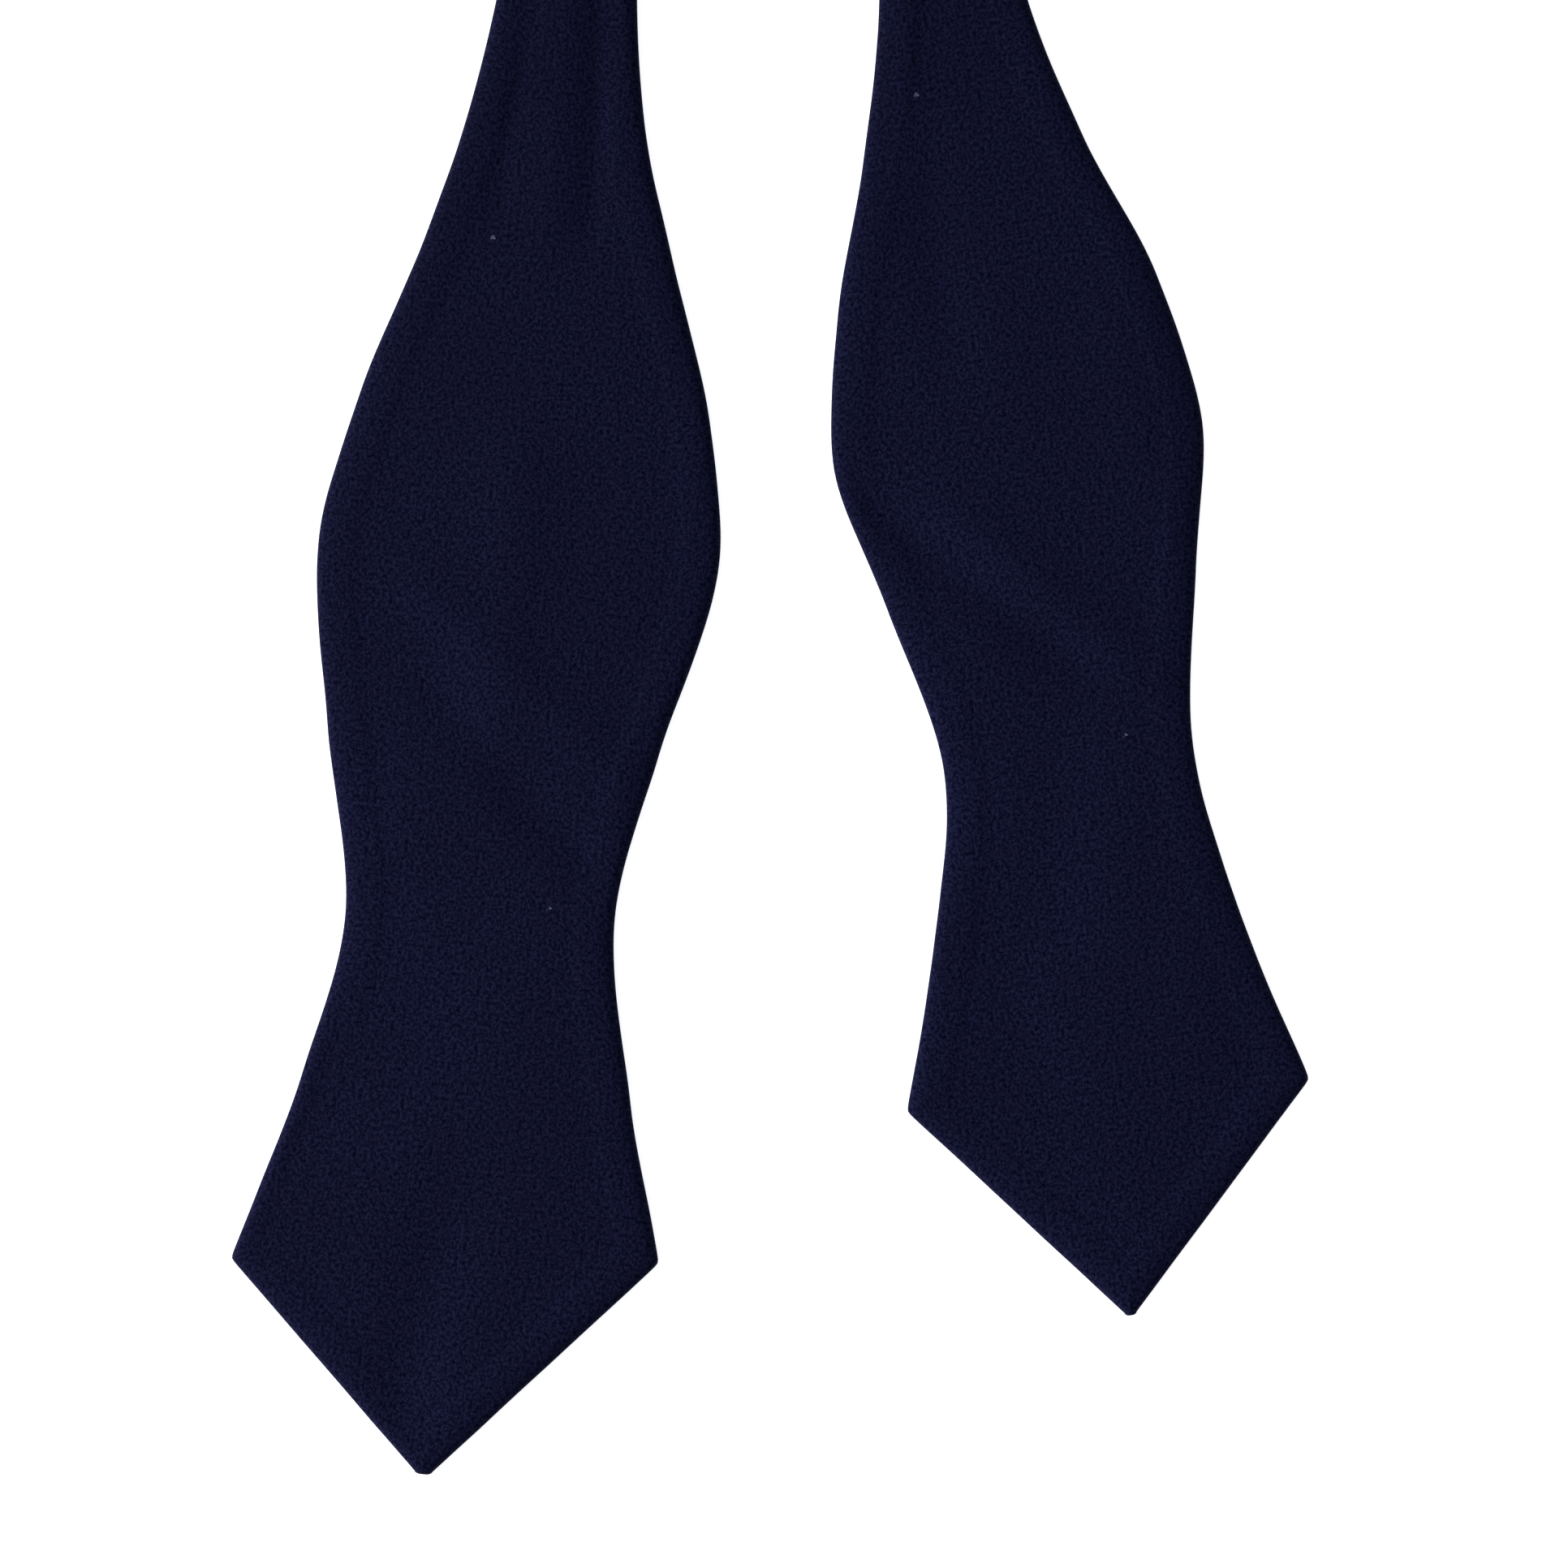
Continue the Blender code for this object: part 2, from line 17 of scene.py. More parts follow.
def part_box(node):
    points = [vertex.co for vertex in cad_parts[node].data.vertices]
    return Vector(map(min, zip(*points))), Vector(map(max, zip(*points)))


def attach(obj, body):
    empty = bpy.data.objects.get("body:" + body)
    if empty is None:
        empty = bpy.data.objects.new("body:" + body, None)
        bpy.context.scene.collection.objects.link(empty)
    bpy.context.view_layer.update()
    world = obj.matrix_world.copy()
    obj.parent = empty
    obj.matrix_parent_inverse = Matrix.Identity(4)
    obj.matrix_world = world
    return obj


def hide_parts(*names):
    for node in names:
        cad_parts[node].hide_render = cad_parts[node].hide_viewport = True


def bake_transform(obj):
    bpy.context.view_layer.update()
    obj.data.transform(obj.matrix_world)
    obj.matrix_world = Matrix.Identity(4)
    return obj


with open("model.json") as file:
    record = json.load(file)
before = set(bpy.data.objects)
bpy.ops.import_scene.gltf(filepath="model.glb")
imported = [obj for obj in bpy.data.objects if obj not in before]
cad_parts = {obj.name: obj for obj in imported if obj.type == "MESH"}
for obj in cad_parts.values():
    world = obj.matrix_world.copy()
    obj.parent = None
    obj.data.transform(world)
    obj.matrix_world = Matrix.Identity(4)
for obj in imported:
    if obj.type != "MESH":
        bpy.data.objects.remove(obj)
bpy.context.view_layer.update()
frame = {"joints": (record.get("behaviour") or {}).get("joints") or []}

# ---- Back panels -------------------------------------------------------------------------
# Each half is cut as one long panel, from its diamond end over the waist and the bulge to the
# back of the neck. The back panel lies on the table, and past the blade it makes a quarter
# turn onto its edge. It is sewn to the face panel right sides together and turned out.

MM = 0.001
UP = Vector((0.0, 0.0, 1.0))
HALVES = ("right", "left")
joints = {joint["name"]: joint for joint in frame["joints"]}

# Each edge of a half, in millimetres: how far up from the point and how far out from the
# middle line, at the corner, flare, waist, rise, bulge, shoulder and down to the band.
OUTLINE = {
    ("left", "outer"): (
        (27.1, 29.8), (54.5, 22.2), (76.0, 18.5), (102.0, 23.4), (128.0, 27.3),
        (150.0, 23.4), (171.0, 16.9), (191.0, 12.1), (207.0, 9.8), (224.0, 8.5),
    ),
    ("left", "inner"): (
        (32.2, 30.1), (54.5, 23.8), (80.0, 19.2), (102.0, 22.9), (131.0, 28.9),
        (150.0, 25.7), (171.0, 18.7), (191.0, 12.5), (207.0, 9.9), (224.0, 8.5),
    ),
    ("right", "outer"): (
        (29.0, 29.2), (54.5, 22.5), (77.0, 19.3), (102.0, 23.0), (122.5, 26.6),
        (143.0, 23.2), (164.0, 15.5), (185.0, 10.2), (202.0, 8.5),
    ),
    ("right", "inner"): (
        (32.0, 27.3), (54.5, 20.5), (78.0, 15.8), (102.0, 20.6), (123.5, 25.4),
        (143.0, 22.2), (164.0, 15.8), (185.0, 10.7), (202.0, 8.5),
    ),
}
WAIST_UP = {"left": 78.0 * MM, "right": 77.5 * MM}
FLAT_LENGTH = {"left": 210.0 * MM, "right": 188.4 * MM}
TIP_HALF_WIDTH = {"left": 1.3 * MM, "right": 0.9 * MM}
TIP_ROUND = 0.5 * MM
CORNER_ROUND = 0.4 * MM
TURN_LENGTH = 50.0 * MM
BAND_HALF_WIDTH = 8.5 * MM
BAND_RISE = 1.7 * MM
CLOTH_THICKNESS = 2.4 * MM
CLOTH_MIDDLE = CLOTH_THICKNESS / 2
PLY = 0.4 * MM


def secant(stations, i):
    (x0, y0), (x1, y1) = stations[i], stations[i + 1]
    return (y1 - y0) / (x1 - x0)


def slope(stations, i):
    if i == len(stations) - 1:
        return 0.0
    after = secant(stations, i)
    before = secant(stations, i - 1) if i else after
    return 2 * before * after / (before + after) if before * after > 0 else 0.0


def smooth_value(stations, up):
    """Height at up of a smooth curve through (up, height) stations, straight before them."""
    if up < stations[0][0]:
        return stations[0][1] + slope(stations, 0) * (up - stations[0][0])
    up = min(up, stations[-1][0])
    i = next(i for i in range(len(stations) - 1) if up <= stations[i + 1][0])
    (x0, y0), (x1, y1) = stations[i], stations[i + 1]
    span = x1 - x0
    part = (up - x0) / span
    return (
        y0 * (1 + 2 * part) * (1 - part) ** 2
        + y1 * part**2 * (3 - 2 * part)
        + slope(stations, i) * span * part * (1 - part) ** 2
        - slope(stations, i + 1) * span * part**2 * (1 - part)
    )


def ramp(value, low, high):
    """0 before low, 1 after high, and a smooth rise between."""
    part = min(max((value - low) / (high - low), 0.0), 1.0)
    return part * part * (3 - 2 * part)


def half_width(half, edge, up):
    """How far this edge lies from the middle line. The corner is turned out a little blunt,
    and hand pressing leaves the edge a tenth of a millimetre uneven."""
    if up < 0.0:
        return TIP_HALF_WIDTH[half] * math.sqrt(max(1 - (up / TIP_ROUND) ** 2, 0.0))
    corner_up, corner_out = (value * MM for value in OUTLINE[half, edge][0])
    tip = TIP_HALF_WIDTH[half]
    diamond = tip + (corner_out - tip) * up / corner_up
    blade = smooth_value(OUTLINE[half, edge], up / MM) * MM
    apart = math.hypot(diamond - blade, CORNER_ROUND)
    wander = noise.noise(Vector((up / (9 * MM), HALVES.index(half) * 7.0, len(edge) * 3.0)))
    return (diamond + blade - apart) / 2 + 0.1 * MM * wander * ramp(up, 3 * MM, 8 * MM)


def arc_end(start, heading, length, turn):
    """Where a path ends that leaves start on a heading and turns evenly over its length."""
    if abs(turn) < 1e-9:
        return start + Vector((math.sin(heading), math.cos(heading), 0.0)) * length
    radius = length / turn
    return start + radius * Vector((
        math.cos(heading) - math.cos(heading + turn),
        math.sin(heading + turn) - math.sin(heading),
        0.0,
    ))


def fold_line(half):
    """Where the waist folds: its place, and the blade's heading there, clockwise from +Y."""
    joint = joints[half + "_waist_fold"]
    return Vector(joint["pos_m"]), math.atan2(joint["axis"][1], -joint["axis"][0])


def point_of(half):
    place, heading = fold_line(half)
    return arc_end(Vector((place.x, place.y, 0.0)), heading, -WAIST_UP[half], 0.0)


def turn_end(half):
    """Where the quarter turn onto the band's edge ends, and the straight run starts."""
    heading = fold_line(half)[1]
    flat_end = arc_end(point_of(half), heading, FLAT_LENGTH[half], 0.0)
    return arc_end(flat_end, heading, TURN_LENGTH, -heading)


eye_bar = Vector(joints["eye_swing"]["pos_m"])
slot_bar = Vector(joints["tab_swing"]["pos_m"])
BEND_Y = slot_bar.y + 8.0 * MM
LEFT_BAND_END_Y = slot_bar.y + 4.0 * MM
RIGHT_BAND_END_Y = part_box("right_back")[1].y
BEND_RADIUS = (eye_bar.x - CLOTH_MIDDLE - turn_end("left").x) / 2
LEGS = {
    "left": (
        (FLAT_LENGTH["left"], 0.0),
        (TURN_LENGTH, -fold_line("left")[1]),
        (BEND_Y - turn_end("left").y, 0.0),
        (math.pi * BEND_RADIUS, math.pi),
        (BEND_Y - LEFT_BAND_END_Y, 0.0),
    ),
    "right": (
        (FLAT_LENGTH["right"], 0.0),
        (TURN_LENGTH, -fold_line("right")[1]),
        (RIGHT_BAND_END_Y - turn_end("right").y, 0.0),
    ),
}
COURSE_LENGTH = {half: sum(length for length, turn in LEGS[half]) for half in HALVES}


def frame_at(half, along):
    """The cloth's underside at a distance along from the point: its middle, the direction
    across it towards its inner edge, and its normal towards the face."""
    place, heading, left_over = point_of(half), fold_line(half)[1], along
    for length, turn in LEGS[half]:
        step = min(left_over, length)
        place = arc_end(place, heading, step, turn * step / length)
        heading += turn * step / length
        left_over -= step
    eased = ramp(along, FLAT_LENGTH[half], FLAT_LENGTH[half] + TURN_LENGTH)
    roll = eased * math.pi / 2
    inward = Vector((math.cos(heading), -math.sin(heading), 0.0))
    if half == "right":
        inward.negate()
    height = BAND_RISE * eased + half_width(half, "outer", along) * math.sin(roll)
    across = inward * math.cos(roll) + UP * math.sin(roll)
    normal = UP * math.cos(roll) - inward * math.sin(roll)
    return place + UP * height, across, normal


def spaced(start, stop, step):
    """Evenly spaced values after start, up to and with stop, at most a step apart."""
    count = max(math.ceil((stop - start) / step - 1e-6), 1)
    return [start + (stop - start) * (i + 1) / count for i in range(count)]


def panel_rows(half, coarse=1.0):
    """Crosswise rows of a panel, each as how far up its outer and its inner end lie. They are
    closest at the point, the corners, the fold at the waist and the band's mouth."""
    corners = [OUTLINE[half, edge][0][0] * MM for edge in ("outer", "inner")]
    waist, end = WAIST_UP[half], COURSE_LENGTH[half]
    rows = [(up * MM, up * MM) for up in (-0.47, -0.4, -0.25, 0.0)]
    shares = spaced(0.0, 0.1, 0.02 * coarse) + spaced(0.1, 0.93, 0.04 * coarse)
    shares += spaced(0.93, 1.0, 0.015 * coarse)
    rows += [tuple(up * share for up in corners) for share in shares]
    shares = spaced(0.0, 0.06, 0.01 * coarse) + spaced(0.06, 0.72, 0.026 * coarse)
    shares += spaced(0.72, 1.0, 0.011 * coarse)
    rows += [tuple(up + (waist - up) * share for up in corners) for share in shares]
    ups = spaced(waist, FLAT_LENGTH[half], 1.25 * MM * coarse)
    ups += spaced(FLAT_LENGTH[half], FLAT_LENGTH[half] + TURN_LENGTH, 1.6 * MM * coarse)
    ups += spaced(FLAT_LENGTH[half] + TURN_LENGTH, end - 3 * MM, 2.2 * MM * coarse)
    ups += [end - before * MM for before in (2.2, 1.5, 0.9, 0.5, 0.2, 0.05, 0.0)]
    return rows + [(up, up) for up in ups]


# How far in from the seam the outer columns of a panel lie, in millimetres. The seam itself
# is drawn in a little, so that a fine groove parts the two panels.
EDGE_INSETS = (0.13, 0.03, 0.18, 0.43, 0.79, 1.2, 1.8, 2.7, 3.7, 4.6, 5.2, 5.8, 6.5)
MIDDLE_SPANS = 14
EDGE_SHARE = 0.65


def column_insets(half, edge, up):
    """How far in from this edge each column lies, from the seam to the middle line."""
    width = half_width(half, edge, up)
    step = 0.2 * MM
    rise = half_width(half, edge, up + step) - half_width(half, edge, max(up - step, 0.0))
    lean = math.hypot(1.0, rise / (up + step - max(up - step, 0.0)))
    room = min(1.0, EDGE_SHARE * width / (EDGE_INSETS[-1] * MM * lean))
    insets = [inset * MM * lean * room for inset in EDGE_INSETS]
    return insets + [insets[-1] + (width - insets[-1]) * (i + 1) / MIDDLE_SPANS
                     for i in range(MIDDLE_SPANS)]


def row_spots(half, row):
    """The spots of one crosswise row, from its outer to its inner edge. Each is a place on
    the underside, its normal, and how far across and up it lies on the flat cut."""
    middle_up = (row[0] + row[1]) / 2
    middle, _, normal = frame_at(half, middle_up)
    sides = []
    for edge, side, up in (("outer", -1, row[0]), ("inner", 1, row[1])):
        width = half_width(half, edge, up)
        place, across, _ = frame_at(half, up)
        rim = place + across * side * width
        spots = []
        for inset in column_insets(half, edge, up):
            share = 1.0 - inset / width
            flat = (side * width * share, middle_up + (up - middle_up) * share)
            spots.append((middle + (rim - middle) * share, normal, flat))
        sides.append(spots)
    outer, inner = sides
    return outer + inner[-2::-1]


def seam_line(half, rows):
    """The seam's line on the flat cut, up the inner edge and down the outer one, as starts
    and ends of its short straight pieces. The band's mouth is left open."""
    inner = [(half_width(half, "inner", up), up) for _, up in rows]
    outer = [(-half_width(half, "outer", up), up) for up, _ in rows]
    line = np.array(outer[::-1] + inner)
    return line[:-1], line[1:]


def seam_distances(spots, seam):
    """How far each spot of a row lies from the seam, on the flat cut."""
    flat = np.array([spot[2] for spot in spots])
    starts, ends = seam
    near = np.abs(starts[:, 1] - flat[:, 1].mean()) < 30 * MM
    starts, pieces = starts[near], (ends - starts)[near]
    offset = flat[:, None] - starts[None]
    part = (offset * pieces).sum(-1) / np.maximum((pieces**2).sum(-1), 1e-12)
    part = np.clip(part, 0.0, 1.0)[..., None]
    return np.linalg.norm(offset - part * pieces, axis=-1).min(axis=1)


def roundness(depth):
    """From 0 at the seam to 1 where the rolled edge has become flat."""
    part = min(depth / CLOTH_MIDDLE, 1.0)
    return math.sqrt(part * (2.0 - part))


MOUTH = {"right": 0.60, "left": 0.86}


def pinch(half, up):
    """How much of its thickness the cloth keeps near the band's mouth, which closes on the
    strap in the right band and on the hook's tab in the left one."""
    closing = ramp(up, COURSE_LENGTH[half] - 2.6 * MM, COURSE_LENGTH[half]) ** 2
    return 1.0 - (1.0 - MOUTH[half]) * closing


def back_height(half, across, up, depth):
    """The back panel's outside, above the cloth's underside. In the bend at the nape it is
    the inner side, so it gathers in shallow wrinkles."""
    height = CLOTH_MIDDLE * (1 - roundness(depth) * pinch(half, up))
    bend_start = LEGS[half][0][0] + TURN_LENGTH + LEGS[half][2][0]
    if half == "left":
        bent = ramp(up, bend_start - 6 * MM, bend_start + 8 * MM)
        bent *= 1 - ramp(up, COURSE_LENGTH[half] - 16 * MM, COURSE_LENGTH[half] - 5 * MM)
        wave = math.sin(up / (1.35 * MM) + 2.2 * noise.noise(Vector((up, across, 0.0)) / (11 * MM)))
        height += 0.22 * MM * bent * max(wave, -0.2) * ramp(depth, 0.0, 4 * MM)
    standing = ramp(up, FLAT_LENGTH[half] + 5 * MM, FLAT_LENGTH[half] + 30 * MM)
    drift = noise.noise(Vector((across / (9 * MM), up / (24 * MM), 3.0)))
    return height + 0.16 * MM * (drift + 0.5) * standing * ramp(depth, 0.0, 5 * MM)


def to_object(name, bm):
    mesh = bpy.data.meshes.new(name)
    bm.to_mesh(mesh)
    bm.free()
    obj = bpy.data.objects.new(name, mesh)
    bpy.context.scene.collection.objects.link(obj)
    return obj


def sheet_of_cloth(name, half, height, outward, rows):
    """One panel as a single sheet: a flat grid laid along the half's course, whose outside
    lies at a height above the cloth's underside, given its ply's thickness inwards."""
    seam = seam_line(half, rows)
    columns = 2 * (len(EDGE_INSETS) + MIDDLE_SPANS) - 1
    bm = bmesh.new()
    bmesh.ops.create_grid(bm, x_segments=columns - 1, y_segments=len(rows) - 1, size=1.0)
    bm.verts.ensure_lookup_table()
    flat_cut = {}
    for i, row in enumerate(rows):
        spots = row_spots(half, row)
        for j, (spot, depth) in enumerate(zip(spots, seam_distances(spots, seam))):
            place, normal, (across, up) = spot
            if j in (0, columns - 1) or i == 0:
                depth = 0.0
            vert = bm.verts[i * columns + j]
            vert.co = place + normal * height(half, across, up, depth)
            flat_cut[vert] = (across if half == "left" else -across, up)
    cut_map = bm.loops.layers.uv.new("flat_cut")
    for face in bm.faces:
        face.smooth = True
        for loop in face.loops:
            loop[cut_map].uv = flat_cut[loop.vert]
    if (half == "right") == (outward == "face"):
        bmesh.ops.reverse_faces(bm, faces=bm.faces)
    return to_object(name, bm)


def give_thickness(obj, thickness):
    solid = obj.modifiers.new("Ply", "SOLIDIFY")
    solid.thickness = thickness
    solid.offset = -1.0


def linear(hex_colour, share=1.0):
    """An sRGB hex colour as the linear colour that a shader takes."""
    values = [int(hex_colour[i:i + 2], 16) / 255 for i in (1, 3, 5)]
    return (*[share * (v / 12.92 if v <= 0.04045 else ((v + 0.055) / 1.055) ** 2.4)
              for v in values], 1.0)


def add_node(tree, kind, inputs=(), **settings):
    """Adds a shader node. An input is a plain value, or another node's output to link."""
    made = tree.nodes.new("ShaderNode" + kind)
    for setting, value in settings.items():
        setattr(made, setting, value)
    for key, value in dict(inputs).items():
        if isinstance(value, bpy.types.NodeSocket):
            tree.links.new(value, made.inputs[key])
        else:
            made.inputs[key].default_value = value
    return made


def new_material(name):
    made = bpy.data.materials.new(name)
    made.use_nodes = True
    return made, made.node_tree, made.node_tree.nodes["Principled BSDF"]


def navy_barathea():
    """Silk and wool barathea, piece-dyed midnight navy and left matt: a pebbled broken rib
    that drinks light, with a faint bloom of loose fibre and very few specks of lint. A
    pebble is drawn 0.6 mm wide, about twice the real one, so that it shows. Its colour also
    has painted shade: darker towards the neck end, lighter towards the point."""
    pebble, fibre, cloud, lint = 0.6 * MM, 0.5 * MM, 26 * MM, 70 * MM
    surface, tree, shader = new_material("navy_barathea")
    cut_map = add_node(tree, "UVMap", uv_map="flat_cut").outputs["UV"]
    woven = add_node(tree, "Mapping", {"Vector": cut_map, "Scale": (1.0, 1.35, 1.0)})
    weave = add_node(tree, "TexVoronoi", {
        "Vector": woven.outputs["Vector"], "Scale": 1 / pebble, "Randomness": 0.85,
    }, voronoi_dimensions="2D", feature="SMOOTH_F1")
    fuzz = add_node(tree, "TexNoise", {
        "Vector": cut_map, "Scale": 1 / fibre, "Detail": 2.0, "Roughness": 0.7,
    }, noise_dimensions="2D")
    bloom = add_node(tree, "TexNoise", {
        "Vector": cut_map, "Scale": 1 / cloud, "Detail": 2.0, "Roughness": 0.5,
    }, noise_dimensions="2D")
    crown = add_node(tree, "MapRange", {
        "Value": weave.outputs["Distance"], "From Min": 0.62, "From Max": 0.12,
    })
    loose = add_node(tree, "MapRange", {
        "Value": fuzz.outputs["Fac"], "From Min": 0.38, "From Max": 0.62,
    })
    soft = add_node(tree, "Math", {0: loose.outputs["Result"], 1: 0.7}, operation="MULTIPLY")
    grain = add_node(tree, "Math", {
        0: crown.outputs["Result"], 1: 0.3, 2: soft.outputs["Value"],
    }, operation="MULTIPLY_ADD")
    warp = add_node(tree, "MixRGB", {
        "Fac": grain.outputs["Value"], "Color1": linear("#01031D"), "Color2": linear("#1F203E"),
    })
    tone = add_node(tree, "MapRange", {
        "Value": bloom.outputs["Fac"], "From Min": 0.3, "From Max": 0.7,
        "To Min": 0.94, "To Max": 1.06,
    })
    # Painted shade: the colour is scaled from 0.84 at 210 mm up to 1.04 at 90 mm up, darker towards
    # the neck and lighter towards the point, as the light falls.
    length = add_node(tree, "SeparateXYZ", {"Vector": cut_map})
    painted_shade_to_neck = add_node(tree, "MapRange", {
        "Value": length.outputs["Y"], "From Min": 210 * MM, "From Max": 90 * MM,
        "To Min": 0.84, "To Max": 1.04,
    })
    bloom_and_painted_shade = add_node(tree, "Math", {
        0: tone.outputs["Result"], 1: painted_shade_to_neck.outputs["Result"],
    }, operation="MULTIPLY")
    # The dyed colour times the random bloom and the painted shade towards the neck.
    dyed = add_node(tree, "VectorMath", {
        0: warp.outputs["Color"], "Scale": bloom_and_painted_shade.outputs["Value"],
    }, operation="SCALE")
    bent = add_node(tree, "VectorMath", {
        0: fuzz.outputs["Color"], 1: (0.9 * MM, 0.9 * MM, 0.0), 2: cut_map,
    }, operation="MULTIPLY_ADD")
    specks = add_node(tree, "TexVoronoi", {
        "Vector": bent.outputs["Vector"], "Scale": 1 / lint, "Randomness": 1.0,
    }, voronoi_dimensions="2D")
    small = add_node(tree, "MapRange", {
        "Value": specks.outputs["Distance"], "From Min": 0.0045, "From Max": 0.003,
    })
    final = add_node(tree, "MixRGB", {
        "Fac": small.outputs["Result"], "Color1": dyed.outputs["Vector"],
        "Color2": linear("#5C5E78"),
    })
    relief = add_node(tree, "Bump", {
        "Height": grain.outputs["Value"], "Distance": 0.11 * MM, "Strength": 0.8,
    })
    tree.links.new(final.outputs["Color"], shader.inputs["Base Color"])
    tree.links.new(relief.outputs["Normal"], shader.inputs["Normal"])
    shader.inputs["Roughness"].default_value = 0.9
    shader.inputs["Diffuse Roughness"].default_value = 0.8
    shader.inputs["Specular IOR Level"].default_value = 0.03
    shader.inputs["Sheen Weight"].default_value = 0.05
    shader.inputs["Sheen Roughness"].default_value = 0.45
    shader.inputs["Sheen Tint"].default_value = linear("#9C9CCC")
    return surface


def flat_size(half, rows, inset=0.0):
    """A finished panel's greatest width and length, and its area, laid flat."""
    widths = [half_width(half, "outer", row[0]) + half_width(half, "inner", row[1]) - 2 * inset
              for row in rows]
    middles = [sum(row) / 2 for row in rows]
    area = sum((w0 + w1) / 2 * (m1 - m0) for w0, w1, m0, m1 in
               zip(widths, widths[1:], middles, middles[1:]))
    return (max(widths), middles[-1] - middles[0]), area


def hang_across_waist(obj):
    """Bakes the sheet's placement into its mesh."""
    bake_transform(obj)


barathea = navy_barathea()
for half in HALVES:
    rows = panel_rows(half)
    back = sheet_of_cloth(half + "_back_panel", half, back_height, "back", rows)
    back.data.materials.append(barathea)
    give_thickness(back, PLY)
    hang_across_waist(back)
    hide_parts(half + "_back", half + "_end_back")
    size, area = flat_size(half, rows)

# ---- Canvases ----------------------------------------------------------------------------
# Inside each half lies one layer of undyed wool and cotton canvas, cut a little smaller than
# the panels and caught in their seam allowances. It gives the blades their body.

CANVAS_LEVEL = 1.55 * MM
CANVAS_PLY = 0.7 * MM
CANVAS_INSET = 1.5 * MM
CANVAS_TIP = 4.0 * MM
CANVAS_BEFORE_MOUTH = {"right": 10.6 * MM, "left": 6.6 * MM}


def canvas_height(half, across, up, depth):
    return CANVAS_LEVEL


def canvas_rows(half):
    """The canvas stops short of the point, and of the strap or tab sewn into the mouth."""
    end = COURSE_LENGTH[half] - CANVAS_BEFORE_MOUTH[half]
    kept = [row for row in panel_rows(half, 2.0) if CANVAS_TIP < min(row) < end - 1 * MM]
    return kept + [(end, end)]


def trimmed(obj, rows, inset):
    """Draws the outer columns of a sheet in, so that it stays inside the panels' edge."""
    columns = len(obj.data.vertices) // len(rows)
    for i in range(len(rows)):
        row = obj.data.vertices[i * columns:(i + 1) * columns]
        middle = row[columns // 2].co.copy()
        for vert in row:
            reach = vert.co - middle
            room = (row[0 if vert.index % columns < columns // 2 else -1].co - middle).length
            if reach.length > 0.0:
                vert.co = middle + reach * max(1 - inset / max(room, inset), 0.05)


def wool_canvas():
    """Undyed hair canvas: a plain, open weave of thick cream threads, 0.8 mm apart."""
    pitch = 0.8 * MM
    surface, tree, shader = new_material("wool_canvas")
    cut_map = add_node(tree, "UVMap", uv_map="flat_cut").outputs["UV"]
    threads = []
    for direction in ("X", "Y"):
        threads.append(add_node(tree, "TexWave", {
            "Vector": cut_map, "Scale": math.pi / 10 / pitch, "Distortion": 0.6, "Detail": 1.0,
        }, bands_direction=direction).outputs["Fac"])
    crossed = add_node(tree, "Math", {0: threads[0], 1: threads[1]}, operation="MAXIMUM")
    colour = add_node(tree, "MixRGB", {
        "Fac": crossed.outputs["Value"], "Color1": linear("#A89E88"),
        "Color2": linear("#DDD6C6"),
    })
    relief = add_node(tree, "Bump", {
        "Height": crossed.outputs["Value"], "Distance": 0.2 * MM, "Strength": 0.8,
    })
    tree.links.new(colour.outputs["Color"], shader.inputs["Base Color"])
    tree.links.new(relief.outputs["Normal"], shader.inputs["Normal"])
    shader.inputs["Roughness"].default_value = 0.9
    shader.inputs["Specular IOR Level"].default_value = 0.2
    return surface


canvas_cloth = wool_canvas()
for half in HALVES:
    rows = canvas_rows(half)
    canvas = sheet_of_cloth(half + "_canvas", half, canvas_height, "face", rows)
    trimmed(canvas, rows, CANVAS_INSET)
    canvas.data.materials.append(canvas_cloth)
    give_thickness(canvas, CANVAS_PLY)
    hang_across_waist(canvas)
    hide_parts(half + "_interlining", half + "_end_interlining")
    size, area = flat_size(half, rows, CANVAS_INSET)

# ---- Face panels -------------------------------------------------------------------------
# The face panel is cut from the same pattern as the back. Pressing leaves the seam
# allowances showing as a faint ridge inside the edge, and wear leaves soft folds.

ALLOWANCE_RISE = 0.18 * MM
CROWN = 0.25 * MM

# Soft ridges and hollows in the cloth, in millimetres: where each starts and ends, as how far
# up from the point and how far to the right of the middle line, its rise and its spread.
SOFT_FOLDS = {
    "left": (
        ((178, -6.5), (218, -5.0), -0.26, 1.9), ((178, 6.5), (218, 5.0), -0.32, 1.9),
        ((176, 0.6), (222, 0.4), 0.22, 2.6), ((104, -0.5), (136, -0.5), 0.35, 5.0),
        ((121.6, -9.8), (102.3, 15.0), 0.45, 3.5), ((105.9, -6.0), (89.4, 11.7), -0.55, 3.4),
        ((56.7, -19.4), (33.3, -25.1), -0.40, 3.0), ((29.0, -0.7), (12.5, -3.7), -0.60, 5.0),
    ),
    "right": (
        ((163, -9.3), (182, -7.5), 0.25, 2.4), ((156, -7.5), (142, -7.0), -0.35, 3.6),
        ((112, 19.5), (136, 17.5), 0.40, 6.0), ((115.9, -20.4), (93.4, 1.8), -0.65, 3.2),
        ((111.9, -7.2), (92.2, 10.8), 0.50, 3.3), ((70.0, -0.5), (61.0, -2.0), -0.35, 5.5),
        ((49.0, -10.3), (41.0, -10.0), -0.28, 5.0), ((52.0, 16.0), (42.0, 15.0), 0.26, 5.0),
    ),
}


